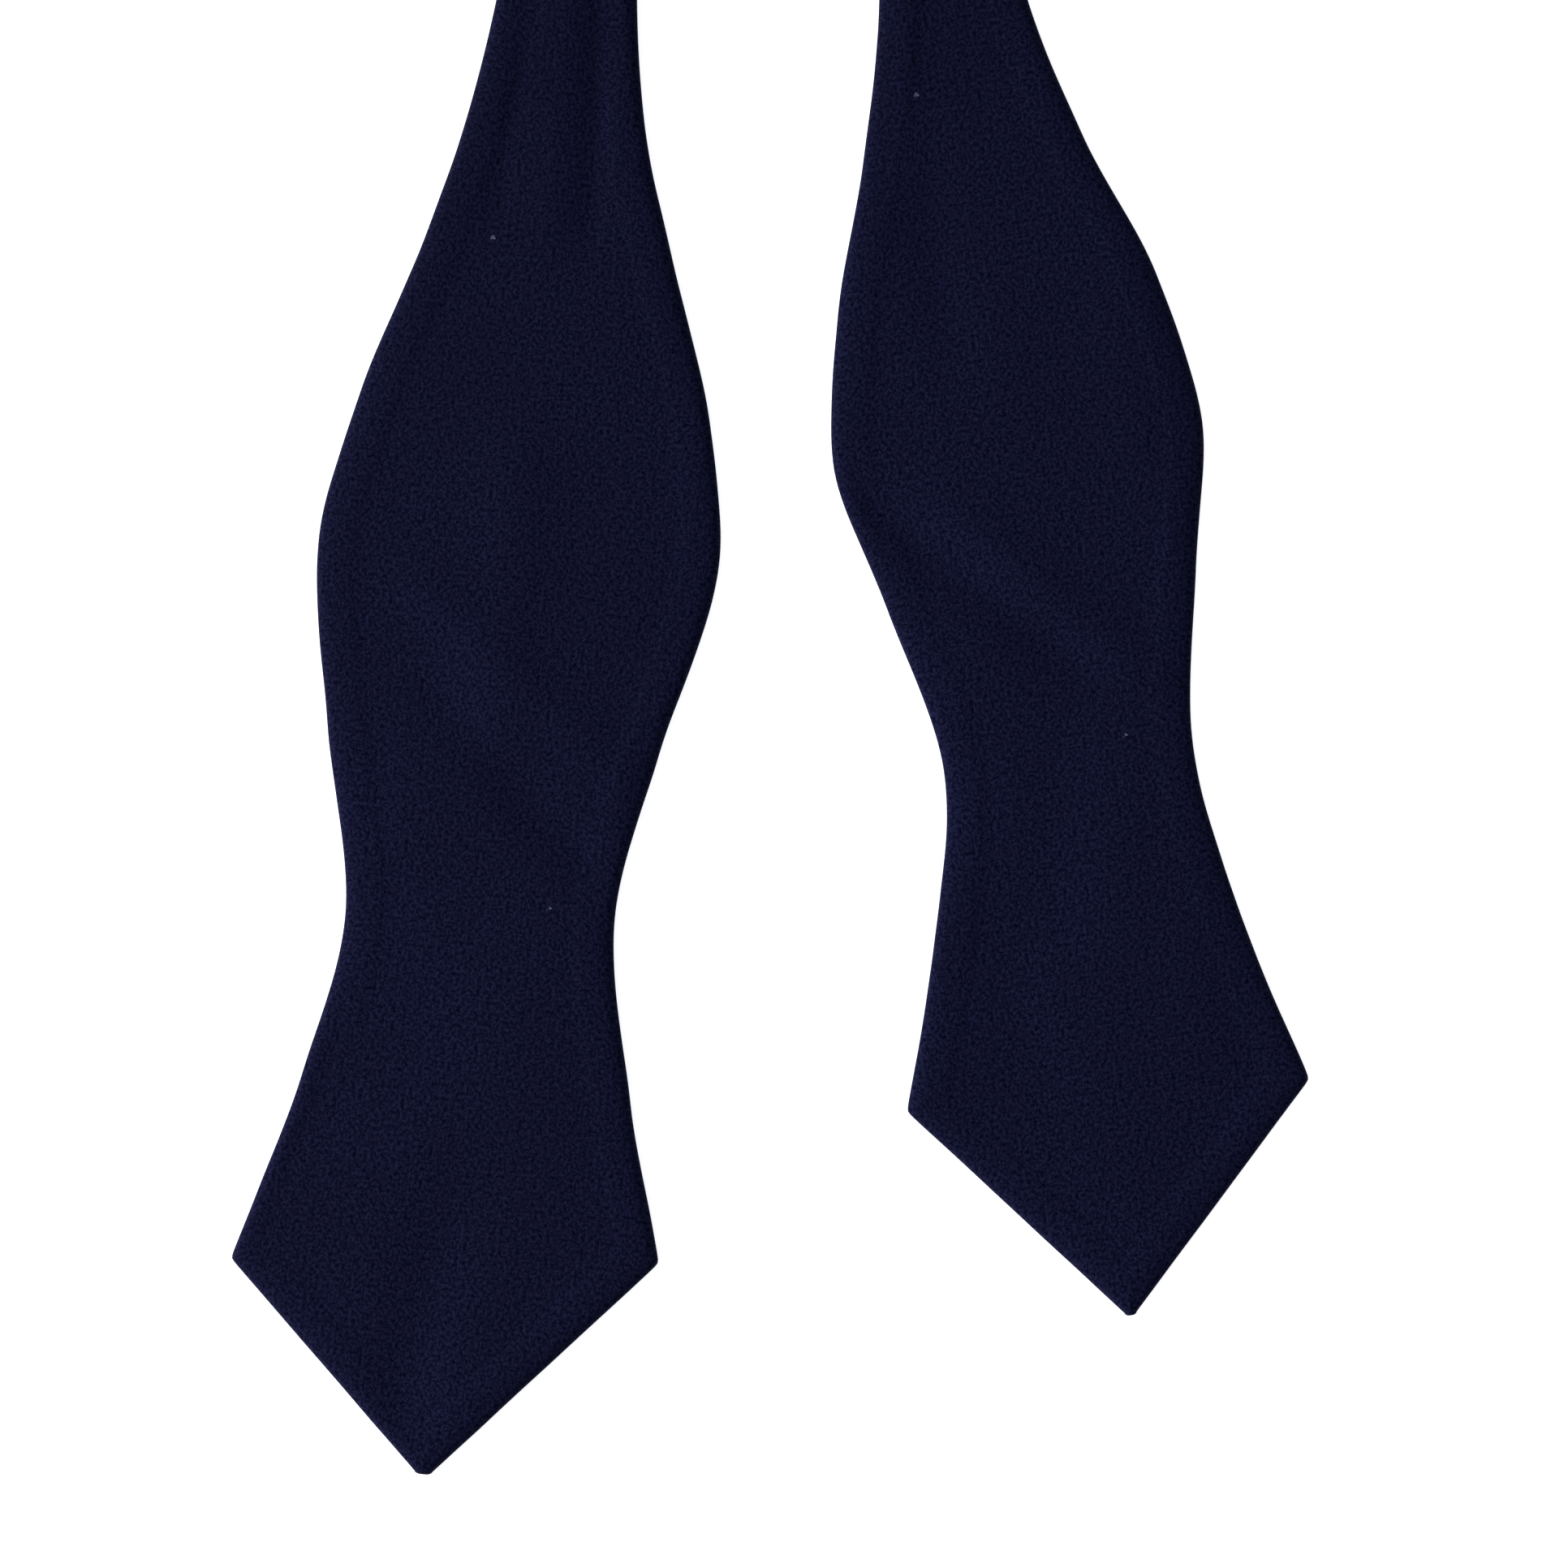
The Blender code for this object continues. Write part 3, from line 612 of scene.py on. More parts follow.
def fold_rise(half, right, up):
    """How much the soft folds lift the face at a spot, in metres."""
    total = 0.0
    spot = Vector((up / MM, right / MM))
    for start, end, rise, spread in SOFT_FOLDS[half]:
        start, run = Vector(start), Vector(end) - Vector(start)
        part = (spot - start).dot(run) / run.length_squared
        beyond = (part - min(max(part, 0.0), 1.0)) * run.length / (2.5 * spread)
        aside = (spot - start - run * part).length / spread
        total += rise * math.exp(-(aside**2 + beyond**2))
    return total * MM


def face_height(half, across, up, depth):
    """The face panel's outside, above the cloth's underside."""
    right = across if half == "left" else -across
    lift = ALLOWANCE_RISE * ramp(depth, 0.8 * MM, 2.2 * MM)
    lift *= 1 - ramp(depth, 4.4 * MM, 6.2 * MM)
    lift += CROWN * (1 - math.exp(-depth / (7 * MM)))
    inside = ramp(depth, 0.4 * MM, 4 * MM)
    lift += fold_rise(half, right, up) * inside
    cloud = noise.noise(Vector((right / (15 * MM), up / (19 * MM), 5.0)))
    pucker = noise.noise(Vector((right / (4.5 * MM), up / (4.5 * MM), 9.0)))
    lift += (0.17 * MM * cloud + 0.035 * MM * pucker) * inside
    return CLOTH_MIDDLE + (CLOTH_MIDDLE * roundness(depth) + lift) * pinch(half, up)


for half in HALVES:
    rows = panel_rows(half)
    face = sheet_of_cloth(half + "_face_panel", half, face_height, "face", rows)
    face.data.materials.append(barathea)
    give_thickness(face, PLY)
    hang_across_waist(face)
    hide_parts(half + "_face", half + "_end_face")
    size, area = flat_size(half, rows)

# ---- Adjuster strap ----------------------------------------------------------------------
# One navy grosgrain ribbon, 14 mm wide. It is sewn into the right band, runs through the
# slide to the eye, turns round the eye's bar and comes back to the slide's middle bar, where
# its end is folded over and tacked. Here it is parted at the eye, where its two runs meet.

STRAP_HALF_WIDTH = 7.0 * MM
STRAP_THICKNESS = 0.5 * MM
STRAP_HIDDEN = 10.0 * MM
WRAP_RADIUS = 1.4 * MM
SLIDE_WRAP_RADIUS = 1.5 * MM
SLIDE_BAR_LEVEL = -0.9 * MM
RIB_PITCH = 0.8 * MM
slide_bar = Vector((eye_bar.x, eye_bar.y - 37.0 * MM, eye_bar.z))


def beside(bar, out, y=0.0):
    """A point beside one of the metal parts' bars: how far out from it and along the band."""
    return bar + Vector((out, y, 0.0))


def walk(start, heading, legs):
    for length, turn in legs:
        start = arc_end(start, heading, length, turn)
        heading += turn
    return start, heading


def plan_frames(start, heading, legs, step):
    """Frames along a course in plan, for what stands on edge: a place, the direction across,
    the direction out and how far along."""
    stations, along = [(start, heading, 0.0)], 0.0
    for length, turn in legs:
        for reach in spaced(0.0, length, step):
            part = turn * reach / length
            spot = arc_end(start, heading, reach, part)
            stations.append((spot, heading + part, along + reach))
        start, heading, along = stations[-1]
    return [(spot, UP, Vector((math.cos(way), -math.sin(way), 0.0)), far)
            for spot, way, far in stations]


def ribbon_profile(half_wide, thickness, flats=10, round_steps=4):
    """The closed outline of a ribbon's cut end, its two edges rounded."""
    radius = thickness / 2
    straight = half_wide - radius
    outline = []
    for side in (1, -1):
        for i in range(flats + 1):
            outline.append((side * straight * (2 * i / flats - 1), side * radius))
        for i in range(1, round_steps):
            angle = math.pi * i / round_steps
            outline.append((side * (straight + radius * math.sin(angle)),
                            side * radius * math.cos(angle)))
    return outline


def swept(name, frames, profile):
    """A skin over a closed profile carried along frames, welded where it meets itself and
    closed at its open ends. Its map runs across and along in metres."""
    columns = len(profile) + 1
    bm = bmesh.new()
    bmesh.ops.create_grid(bm, x_segments=columns - 1, y_segments=len(frames) - 1, size=1.0)
    bm.verts.ensure_lookup_table()
    spots = {}
    for i, (place, across, out, along) in enumerate(frames):
        for j in range(columns):
            wide, deep = profile[j % len(profile)]
            vert = bm.verts[i * columns + j]
            vert.co = place + across * wide + out * deep
            spots[vert] = (wide, along)
    ribbon_map = bm.loops.layers.uv.new("ribbon_map")
    for face in bm.faces:
        face.smooth = True
        for loop in face.loops:
            loop[ribbon_map].uv = spots[loop.vert]
    bmesh.ops.remove_doubles(bm, verts=bm.verts, dist=1e-6)
    rims = [edge for edge in bm.edges if edge.is_boundary]
    if rims:
        bmesh.ops.holes_fill(bm, edges=rims, sides=0)
    bmesh.ops.recalc_face_normals(bm, faces=bm.faces)
    return to_object(name, bm)


def ribbed(frames, rise=0.24):
    """Raises a rib across the ribbon every rib pitch, as a share of its thickness."""
    return [(spot, across, out * (1 + rise * abs(math.sin(math.pi * far / RIB_PITCH))), far)
            for spot, across, out, far in frames]


def navy_grosgrain():
    """Rayon grosgrain dyed with the cloth: close silky warp over thick cords of weft, so the
    ribs catch a dull line of light."""
    thread = 0.18 * MM
    surface, tree, shader = new_material("navy_grosgrain")
    ribbon_map = add_node(tree, "UVMap", uv_map="ribbon_map").outputs["UV"]
    drawn = add_node(tree, "Mapping", {"Vector": ribbon_map, "Scale": (1.0, 0.12, 1.0)})
    warp = add_node(tree, "TexNoise", {
        "Vector": drawn.outputs["Vector"], "Scale": 1 / thread, "Detail": 2.0,
    }, noise_dimensions="2D")
    rib = add_node(tree, "TexWave", {
        "Vector": ribbon_map, "Scale": math.pi / 10 / RIB_PITCH, "Distortion": 0.0,
    }, bands_direction="Y", wave_profile="SIN")
    height = add_node(tree, "Math", {
        0: warp.outputs["Fac"], 1: 0.7, 2: rib.outputs["Fac"],
    }, operation="MULTIPLY_ADD")
    colour = add_node(tree, "MixRGB", {
        "Fac": warp.outputs["Fac"], "Color1": linear("#0B0D1E"), "Color2": linear("#1C1F45"),
    })
    relief = add_node(tree, "Bump", {
        "Height": height.outputs["Value"], "Distance": 0.06 * MM, "Strength": 0.7,
    })
    tree.links.new(colour.outputs["Color"], shader.inputs["Base Color"])
    tree.links.new(relief.outputs["Normal"], shader.inputs["Normal"])
    shader.inputs["Roughness"].default_value = 0.55
    shader.inputs["Specular IOR Level"].default_value = 0.1
    shader.inputs["Sheen Weight"].default_value = 0.03
    shader.inputs["Sheen Tint"].default_value = linear("#9CA0CC")
    return surface


grosgrain = navy_grosgrain()
rib_step = RIB_PITCH / 4
strap_edge = ribbon_profile(STRAP_HALF_WIDTH, STRAP_THICKNESS)
strap_start = beside(eye_bar, WRAP_RADIUS, RIGHT_BAND_END_Y - STRAP_HIDDEN - eye_bar.y)
legs = [(eye_bar.y - strap_start.y, 0.0), (math.pi * WRAP_RADIUS, -math.pi)]
strap = swept("strap_standing_run_and_loop", ribbed(plan_frames(strap_start, 0.0, legs, rib_step)),
              strap_edge)
strap.data.materials.append(grosgrain)
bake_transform(strap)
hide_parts("strap_standing_run", "strap_eye_loop")

# The end lies flat on the return run for 2.5 mm, opens round the bar and eases back to the eye.
end_turn, ease_length, ease_run = 0.84, 8.0 * MM, 12.0 * MM
open_up = [(2.5 * MM, 0.0), (2.2 * MM, -end_turn), (1.0 * MM, 0.0), (2.2 * MM, end_turn)]
opened = walk(Vector(), math.pi, open_up)[0]
fold_start = beside(slide_bar, SLIDE_BAR_LEVEL + SLIDE_WRAP_RADIUS) - opened
drift = -WRAP_RADIUS - (SLIDE_BAR_LEVEL - SLIDE_WRAP_RADIUS)
ease_turn = drift / (ease_length + ease_run)
before_ease = 7.0 * MM
after_ease = eye_bar.y - slide_bar.y - before_ease - 2 * ease_length - ease_run
legs = open_up + [
    (math.pi * SLIDE_WRAP_RADIUS, math.pi), (before_ease, 0.0), (ease_length, ease_turn),
    (ease_run, 0.0), (ease_length, -ease_turn), (after_ease, 0.0),
]
run = swept("strap_return_run_and_fold", ribbed(plan_frames(fold_start, math.pi, legs, rib_step)),
            strap_edge)
run.data.materials.append(grosgrain)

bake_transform(run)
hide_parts("strap_return_run", "strap_end_fold")

# ---- Slide -------------------------------------------------------------------------------
# A slide pressed from 1.1 mm brass strip, nickel plated: a middle bar that holds the strap's
# folded end, and two end bars outside the standing run, so its rails are waved.

WINDOW_HALF_WIDTH = 7.95 * MM
METAL_HALF_WIDTH = 10.0 * MM
SLIDE_HALF_LENGTH = 8.9 * MM
SLIDE_THICKNESS = 1.1 * MM
SLIDE_OUTER_LEVEL = 2.75 * MM
WAVE_LENGTH = 8.0 * MM
BAR_HALF_LENGTH = 0.8 * MM
END_BAR_START = 7.1 * MM


def pressed_plate(name, across, along, is_metal, bent, thickness, corner):
    """Sheet metal: a grid on the given stations across and along, with the cells that aren't
    metal cut away, its outer corners rounded, and every point then bent to its place."""
    bm = bmesh.new()
    bmesh.ops.create_grid(bm, x_segments=len(across) - 1, y_segments=len(along) - 1, size=1.0)
    bm.verts.ensure_lookup_table()
    for i, far in enumerate(along):
        for j, wide in enumerate(across):
            bm.verts[i * len(across) + j].co = (wide, far, 0.0)
    waste = [face for face in bm.faces if not is_metal(*face.calc_center_median().xy)]
    bmesh.ops.delete(bm, geom=waste, context="FACES")
    ends = [vert for vert in bm.verts if len(vert.link_faces) == 1]
    bmesh.ops.bevel(bm, geom=ends, offset=corner, offset_type="OFFSET", segments=4,
                    profile=0.5, affect="VERTICES", material=-1)
    for vert in bm.verts:
        vert.co = bent(vert.co.x, vert.co.y)
    for face in bm.faces:
        face.smooth = True
    obj = to_object(name, bm)
    solid = obj.modifiers.new("Gauge", "SOLIDIFY")
    solid.thickness = thickness
    solid.offset = 0.0
    edge = obj.modifiers.new("Tumbled edge", "BEVEL")
    edge.width = thickness * 0.28
    edge.segments = 3
    edge.limit_method = "ANGLE"
    edge.angle_limit = math.radians(40)
    return obj


def polished_nickel():
    """Bright nickel on brass: warm white metal, barrel-tumbled, so its gloss is a little
    broken, with hairlines from handling."""
    cloud, hairline = 1.6 * MM, 0.05 * MM
    surface, tree, shader = new_material("polished_nickel")
    place = add_node(tree, "TexCoord").outputs["Object"]
    tumbled = add_node(tree, "TexNoise", {"Vector": place, "Scale": 1 / cloud, "Detail": 4.0})
    stretched = add_node(tree, "Mapping", {"Vector": place, "Scale": (1.0, 0.03, 0.6)})
    lines = add_node(tree, "TexNoise", {
        "Vector": stretched.outputs["Vector"], "Scale": 1 / hairline, "Detail": 1.0,
    })
    dull = add_node(tree, "MapRange", {
        "Value": tumbled.outputs["Fac"], "From Min": 0.3, "From Max": 0.7,
        "To Min": 0.14, "To Max": 0.30,
    })
    relief = add_node(tree, "Bump", {
        "Height": lines.outputs["Fac"], "Distance": 0.004 * MM, "Strength": 0.5,
    })
    colour = add_node(tree, "MixRGB", {
        "Fac": tumbled.outputs["Fac"], "Color1": linear("#BDB9B1"), "Color2": linear("#D2CEC6"),
    })
    tree.links.new(colour.outputs["Color"], shader.inputs["Base Color"])
    tree.links.new(dull.outputs["Result"], shader.inputs["Roughness"])
    tree.links.new(relief.outputs["Normal"], shader.inputs["Normal"])
    shader.inputs["Metallic"].default_value = 1.0
    return surface


def mirrored(values):
    return sorted({side * value for value in values for side in (-1, 1)})


def slide_wave(wide, far):
    """The slide's rails dip to the middle bar and rise to the end bars."""
    lift = (1 - math.cos(math.pi * min(abs(far) / WAVE_LENGTH, 1.0))) / 2
    out = SLIDE_BAR_LEVEL + (SLIDE_OUTER_LEVEL - SLIDE_BAR_LEVEL) * lift
    return slide_bar + Vector((out, far, wide))


def slide_metal(wide, far):
    in_window = BAR_HALF_LENGTH < abs(far) < END_BAR_START
    return not (in_window and abs(wide) < WINDOW_HALF_WIDTH)


nickel = polished_nickel()
widths = mirrored([0.0, 2 * MM, 4 * MM, 6 * MM, WINDOW_HALF_WIDTH, METAL_HALF_WIDTH])
lengths = [BAR_HALF_LENGTH / 2, BAR_HALF_LENGTH]
lengths += spaced(BAR_HALF_LENGTH, END_BAR_START, 0.4 * MM)
lengths = mirrored([0.0] + lengths + [7.6 * MM, 8.2 * MM, SLIDE_HALF_LENGTH])
slide = pressed_plate("slide", widths, lengths, slide_metal, slide_wave, SLIDE_THICKNESS,
                      0.65 * MM)
slide.data.materials.append(nickel)
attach(slide, "adjuster")
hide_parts("slide_frame")

# ---- Eye ---------------------------------------------------------------------------------
# A rectangular eye bent from 1.6 mm brass wire with its ends butted in the middle of a side,
# and nickel plated.

WIRE_RADIUS = 0.8 * MM
EYE_LENGTH = 10.0 * MM
EYE_CORNER = 2.0 * MM
hook_bar = beside(eye_bar, 0.0, EYE_LENGTH)

half_tall = WINDOW_HALF_WIDTH + WIRE_RADIUS
wire_frames, far = [], 0.0
for quarter, (y, z) in enumerate(((1, 1), (0, 1), (0, -1), (1, -1))):
    centre = eye_bar + Vector((
        0.0, EYE_CORNER + (EYE_LENGTH - 2 * EYE_CORNER) * y, (half_tall - EYE_CORNER) * z
    ))
    for i in range(9):
        angle = math.pi / 2 * (quarter + i / 8)
        outward = Vector((0.0, math.cos(angle), math.sin(angle)))
        wire_frames.append((centre + outward * EYE_CORNER, outward, Vector((1.0, 0.0, 0.0)), far))
        far += EYE_CORNER * math.pi / 16
wire_frames.append(wire_frames[0])
wire_edge = [(WIRE_RADIUS * math.cos(turn), WIRE_RADIUS * math.sin(turn))
             for turn in (2 * math.pi * i / 20 for i in range(20))]
eye = swept("eye", wire_frames, wire_edge)
eye.data.materials.append(nickel)
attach(eye, "eye")
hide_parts("eye_ring")

# ---- Hook --------------------------------------------------------------------------------
# A hook pressed from 0.9 mm brass strip: a slotted plate for the tab, and a tongue that steps
# down beside the eye's far bar, curls round it and ends in a turned-up lip.

HOOK_THICKNESS = 0.9 * MM
HOOK_HALF_WIDTH = 9.5 * MM
TONGUE_HALF_WIDTH = 4.5 * MM
CURL_RADIUS = 1.6 * MM
plate_end, plate_start = 0.8 * MM, -6.2 * MM
slot_low, slot_high = -5.0 * MM, -0.8 * MM

# The tongue's course in plan, from the plate's front edge, each leg a length and a turn.
step_turn, step_bend = 1.25, 0.4 * MM
bend_drop = step_bend / step_turn * (1 - math.cos(step_turn))
step_run = (CURL_RADIUS - 2 * bend_drop) / math.sin(step_turn)
step_legs = [(step_bend, step_turn), (step_run, 0.0), (step_bend, -step_turn)]
stepped = walk(beside(slot_bar, 0.0, plate_start), math.pi, step_legs)[0]
tongue_run = stepped.y - hook_bar.y
lip_legs = [(1.6 * MM, 0.12), (1.4 * MM, 0.3)]
tongue_legs = step_legs + [(tongue_run, 0.0), (math.pi * CURL_RADIUS, -math.pi)] + lip_legs
tongue_frames = plan_frames(beside(slot_bar, 0.0, plate_start), math.pi, tongue_legs, 0.25 * MM)


def hook_bend(wide, far):
    """Far runs from the plate's back edge, negative, past 0 at its front and along the
    tongue."""
    if far <= 0.0:
        return beside(slot_bar, 0.0, plate_start - far) + UP * wide
    later = next((f for f in tongue_frames if f[3] >= far - 1e-9), tongue_frames[-1])
    return later[0] + UP * wide


def hook_metal(wide, far):
    if far > 0.0:
        return abs(wide) < TONGUE_HALF_WIDTH
    in_slot = plate_start - slot_high < far < plate_start - slot_low
    return not (in_slot and abs(wide) < WINDOW_HALF_WIDTH)


widths = mirrored([0.0, 2.2 * MM, TONGUE_HALF_WIDTH, 6.2 * MM, WINDOW_HALF_WIDTH, HOOK_HALF_WIDTH])
lengths = [plate_start - plate_end, plate_start - slot_high]
lengths += spaced(plate_start - slot_high, plate_start - slot_low, 1.0 * MM) + [0.0]
lengths += [frame_spot[3] for frame_spot in tongue_frames[1:]]
hook = pressed_plate("hook_with_tongue", widths, lengths, hook_metal, hook_bend,
                     HOOK_THICKNESS, 0.7 * MM)
hook.data.materials.append(nickel)
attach(hook, "hook")
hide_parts("hook")

# ---- Hook tab ----------------------------------------------------------------------------
# A short doubled length of the same ribbon, put through the hook's slot and sewn into the
# left band's mouth.

TAB_THICKNESS = 0.4 * MM
TAB_HIDDEN = 6.0 * MM
tab_turn = 0.47
closing = [(1.8 * MM, tab_turn), (0.6 * MM, 0.0), (1.8 * MM, -tab_turn)]
to_bar = [(TAB_HIDDEN, 0.0)] + closing
tab_legs = to_bar + [(math.pi * WRAP_RADIUS, -math.pi)] + to_bar[::-1]
drawn_in = walk(Vector(), math.pi, to_bar)[0]
tab_start = beside(slot_bar, -WRAP_RADIUS) - drawn_in
tab_edge = ribbon_profile(STRAP_HALF_WIDTH, TAB_THICKNESS)
tab = swept("hook_tab_ribbon", ribbed(plan_frames(tab_start, math.pi, tab_legs, rib_step)),
            tab_edge)
tab.data.materials.append(grosgrain)
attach(tab, "left_half")
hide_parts("hook_tab")

# ---- Tacks -------------------------------------------------------------------------------
# Machine bar tacks in navy polyester thread: a close row of satin stitches over each place
# where a strap has to hold.

TACK_HALF_LENGTH = 6.0 * MM
TACK_HALF_WIDTH = 0.75 * MM
THREAD_RADIUS = 0.17 * MM
STITCH_PITCH = 0.4 * MM
TACK_BEFORE_MOUTH = {"right": 4.0 * MM, "left": 3.4 * MM}
TACK_PAST_SLIDE_BAR = 5.9 * MM


def sewing_thread():
    """Trilobal polyester: twisted filaments with a small silky gloss."""
    surface, tree, shader = new_material("polyester_thread")
    place = add_node(tree, "TexCoord").outputs["Object"]
    twist = add_node(tree, "TexNoise", {"Vector": place, "Scale": 1 / (0.12 * MM), "Detail": 1.0})
    colour = add_node(tree, "MixRGB", {
        "Fac": twist.outputs["Fac"], "Color1": linear("#10122A"), "Color2": linear("#2A2D5A"),
    })
    relief = add_node(tree, "Bump", {
        "Height": twist.outputs["Fac"], "Distance": 0.03 * MM, "Strength": 0.6,
    })
    tree.links.new(colour.outputs["Color"], shader.inputs["Base Color"])
    tree.links.new(relief.outputs["Normal"], shader.inputs["Normal"])
    shader.inputs["Roughness"].default_value = 0.4
    shader.inputs["Specular IOR Level"].default_value = 0.4
    return surface


def stitches(name, spots):
    """Small stitches, each a drawn-out bead of thread at a place, along one direction, with
    its half length and its thickness's two directions."""
    bm = bmesh.new()
    for place, along, aside, out in spots:
        bead = Matrix.Translation(place) @ Matrix((along, aside, out)).transposed().to_4x4()
        bmesh.ops.create_uvsphere(bm, u_segments=8, v_segments=6, radius=1.0, matrix=bead)
    for face in bm.faces:
        face.smooth = True
    bmesh.ops.recalc_face_normals(bm, faces=bm.faces)
    obj = to_object(name, bm)
    obj.data.materials.append(thread_stuff)
    return obj


def bar_tack(name, place_at):
    """A row of satin stitches up the band. place_at gives a height's place, the band's
    direction there and its outward normal."""
    spots = []
    count = round(2 * TACK_HALF_LENGTH / STITCH_PITCH)
    for i in range(count + 1):
        height = TACK_HALF_LENGTH * (2 * i / count - 1)
        place, along, out = place_at(height)
        lean = UP * (0.25 * TACK_HALF_WIDTH * (-1) ** i)
        spots.append((place, along * TACK_HALF_WIDTH + lean, UP * THREAD_RADIUS * 1.15,
                      out * THREAD_RADIUS))
    return stitches(name, spots)


def on_face(half):
    """Places up the outside of a band's face panel, a little before its mouth."""
    up = COURSE_LENGTH[half] - TACK_BEFORE_MOUTH[half]

    def place_at(height):
        underside, across, normal = frame_at(half, up)
        side = height if across.z > 0 else -height
        level = face_height(half, side, up, BAND_HALF_WIDTH - abs(height))
        return underside + across * side + normal * level, normal.cross(UP), normal

    return place_at


def on_fold(height):
    """Places up the outside of the strap's folded end."""
    out = SLIDE_BAR_LEVEL - SLIDE_WRAP_RADIUS - STRAP_THICKNESS / 2 - 0.04 * MM
    place = beside(slide_bar, out, TACK_PAST_SLIDE_BAR) + UP * height
    return place, Vector((0.0, 1.0, 0.0)), Vector((-1.0, 0.0, 0.0))


thread_stuff = sewing_thread()
tack = bar_tack("strap_joint_stitches", on_face("right"))
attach(tack, "right_half")
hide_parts("strap_joint_tack")
tack = bar_tack("tab_joint_stitches", on_face("left"))
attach(tack, "left_half")
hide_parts("tab_joint_tack")
tack = bar_tack("strap_fold_stitches", on_fold)
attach(tack, "adjuster")
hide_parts("strap_fold_tack")

# ---- Label -------------------------------------------------------------------------------
# A blank label of black satin-woven tape on the inner side of the left band, its ends folded
# under and caught down with a row of stitches each.

LABEL_START_Y, LABEL_END_Y = (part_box("size_label")[i].y for i in (0, 1))
LABEL_HALF_WIDTH = 6.0 * MM
LABEL_THICKNESS = 0.26 * MM
LABEL_FOLD = 3.2 * MM
LABEL_FOLD_RADIUS = 0.19 * MM
LABEL_SAG = 0.28 * MM
SAG_EASE = (3.0 * MM, 9.0 * MM)
CATCH_FROM_END = 1.4 * MM
CATCH_HALF_LENGTH = 0.7 * MM
CATCH_STITCHES = 6


def satin_tape():
    """Black polyester satin tape: smooth floating warps, so its gloss is drawn into a soft
    line, with a plain woven selvedge."""
    thread = 0.14 * MM
    surface, tree, shader = new_material("satin_tape")
    ribbon_map = add_node(tree, "UVMap", uv_map="ribbon_map").outputs["UV"]
    drawn = add_node(tree, "Mapping", {"Vector": ribbon_map, "Scale": (1.0, 0.08, 1.0)})
    floats = add_node(tree, "TexNoise", {
        "Vector": drawn.outputs["Vector"], "Scale": 1 / thread, "Detail": 2.0,
    }, noise_dimensions="2D")
    colour = add_node(tree, "MixRGB", {
        "Fac": floats.outputs["Fac"], "Color1": linear("#0E0E14"), "Color2": linear("#22222B"),
    })
    relief = add_node(tree, "Bump", {
        "Height": floats.outputs["Fac"], "Distance": 0.05 * MM, "Strength": 0.5,
    })
    tree.links.new(colour.outputs["Color"], shader.inputs["Base Color"])
    tree.links.new(relief.outputs["Normal"], shader.inputs["Normal"])
    shader.inputs["Roughness"].default_value = 0.45
    shader.inputs["Specular IOR Level"].default_value = 0.25
    shader.inputs["Anisotropic"].default_value = 0.5
    return surface


label_length = LABEL_END_Y - LABEL_START_Y
under = turn_end("left").x + LABEL_THICKNESS / 2 + 0.22 * MM
label_start = Vector((under, LABEL_START_Y + LABEL_FOLD, eye_bar.z))
around = (math.pi * LABEL_FOLD_RADIUS, -math.pi)
label_legs = [(LABEL_FOLD, 0.0), around, (label_length, 0.0), around, (LABEL_FOLD, 0.0)]
label_frames = []
for spot, across, out, far in plan_frames(label_start, math.pi, label_legs, 0.3 * MM):
    middle = ramp(spot.y - LABEL_START_Y, *SAG_EASE) * ramp(LABEL_END_Y - spot.y, *SAG_EASE)
    is_top = spot.x > under + LABEL_FOLD_RADIUS
    sag = Vector((-LABEL_SAG * middle * is_top, 0.0, 0.0))
    label_frames.append((spot + sag, across, out, far))
label = swept("blank_label", label_frames, ribbon_profile(LABEL_HALF_WIDTH, LABEL_THICKNESS))
label.data.materials.append(satin_tape())
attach(label, "left_half")
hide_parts("size_label")

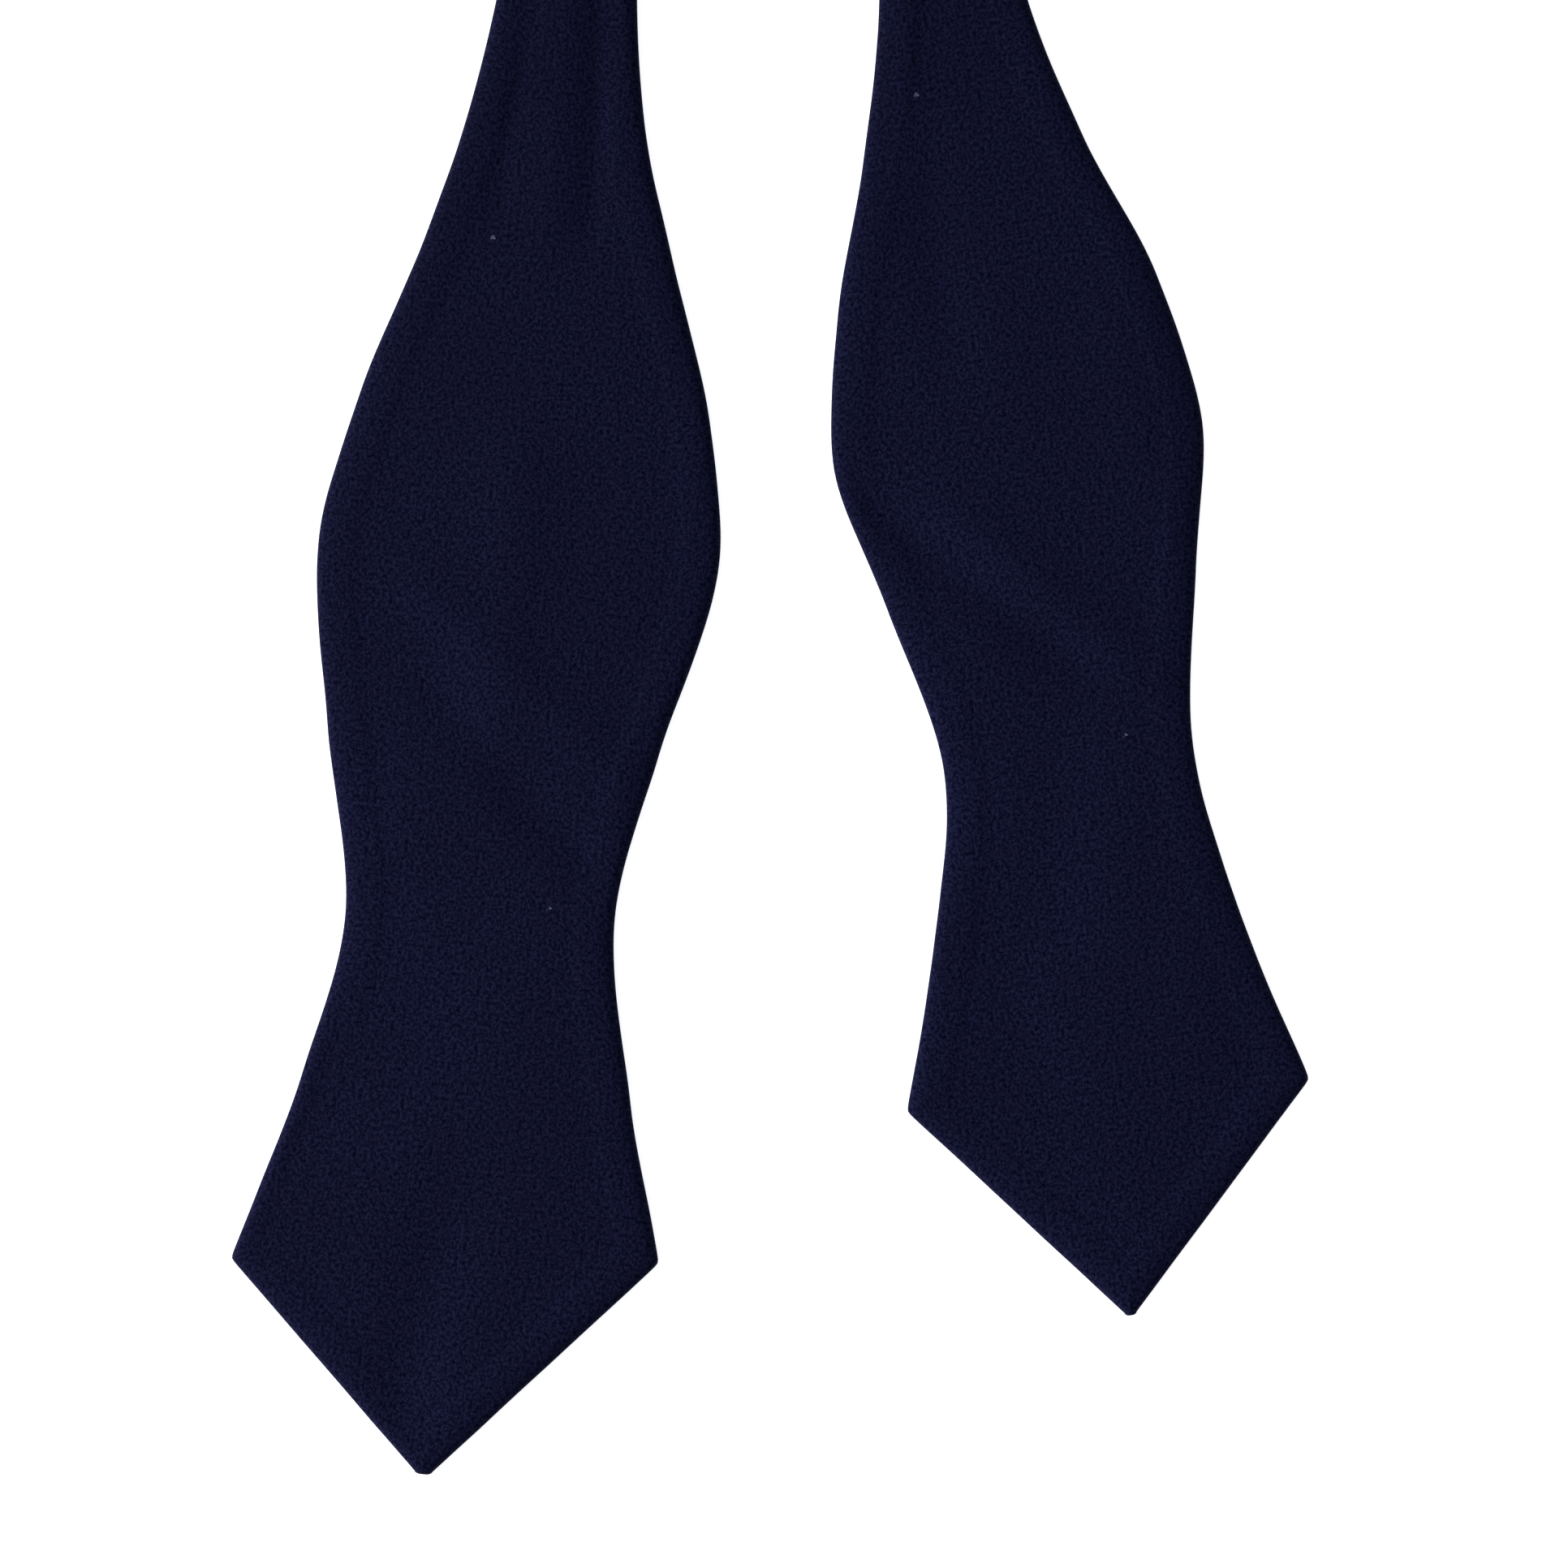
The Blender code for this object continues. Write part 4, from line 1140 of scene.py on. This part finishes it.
catch_spots = []
top_x = under + 2 * LABEL_FOLD_RADIUS + LABEL_THICKNESS / 2
for y in (LABEL_START_Y + CATCH_FROM_END, LABEL_END_Y - CATCH_FROM_END):
    for i in range(CATCH_STITCHES):
        height = LABEL_HALF_WIDTH * 0.8 * (2 * i / (CATCH_STITCHES - 1) - 1)
        place = Vector((top_x, y, eye_bar.z + height))
        catch_spots.append((place, UP * CATCH_HALF_LENGTH, Vector((0.0, THREAD_RADIUS, 0.0)),
                            Vector((THREAD_RADIUS, 0.0, 0.0))))
catch = stitches("label_stitches", catch_spots)
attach(catch, "left_half")

# ---- Table, light and camera -------------------------------------------------------------
# A plain white table, a wide soft sky and one large soft light low on the left.

TABLE_SIZE = 12.0
VIEW_CENTRE = (2.06 * MM, -112.45 * MM)
VIEW_WIDTH = 219.55 * MM
FACE_LEVEL = 1.5 * MM
LENS, SENSOR = 100.0, 36.0

bm = bmesh.new()
bmesh.ops.create_grid(bm, x_segments=8, y_segments=8, size=TABLE_SIZE / 2)
table = to_object("table", bm)

paper, tree, shader = new_material("white_laminate")
shader.inputs["Base Color"].default_value = linear("#F4F4F4")
shader.inputs["Roughness"].default_value = 0.7
shader.inputs["Specular IOR Level"].default_value = 0.2
shader.inputs["Emission Color"].default_value = linear("#FFFFFF")
shader.inputs["Emission Strength"].default_value = 0.80
table.data.materials.append(paper)

world = bpy.data.worlds.new("studio")
world.use_nodes = True
world.node_tree.nodes["Background"].inputs["Color"].default_value = linear("#F2F5FF")
world.node_tree.nodes["Background"].inputs["Strength"].default_value = 0.35
bpy.context.scene.world = world


def soft_light(name, place, aim, size, power, colour):
    lamp = bpy.data.lights.new(name, "AREA")
    lamp.shape = "SQUARE"
    lamp.size = size
    lamp.energy = power
    lamp.color = linear(colour)[:3]
    obj = bpy.data.objects.new(name, lamp)
    bpy.context.scene.collection.objects.link(obj)
    obj.location = place
    obj.rotation_euler = (Vector(aim) - Vector(place)).to_track_quat("-Z", "Y").to_euler()


soft_light("key_light", (-1.2, 0.05, 0.45), (0.0, -0.08, 0.0), 0.4, 28.0, "#FFFFFF")

camera_data = bpy.data.cameras.new("camera")
camera_data.lens = LENS
camera_data.sensor_width = SENSOR
camera_data.clip_start = 0.01
camera = bpy.data.objects.new("camera", camera_data)
bpy.context.scene.collection.objects.link(camera)
camera.location = (*VIEW_CENTRE, FACE_LEVEL + VIEW_WIDTH * LENS / SENSOR)
bpy.context.scene.camera = camera
bpy.context.scene.view_settings.view_transform = "Standard"
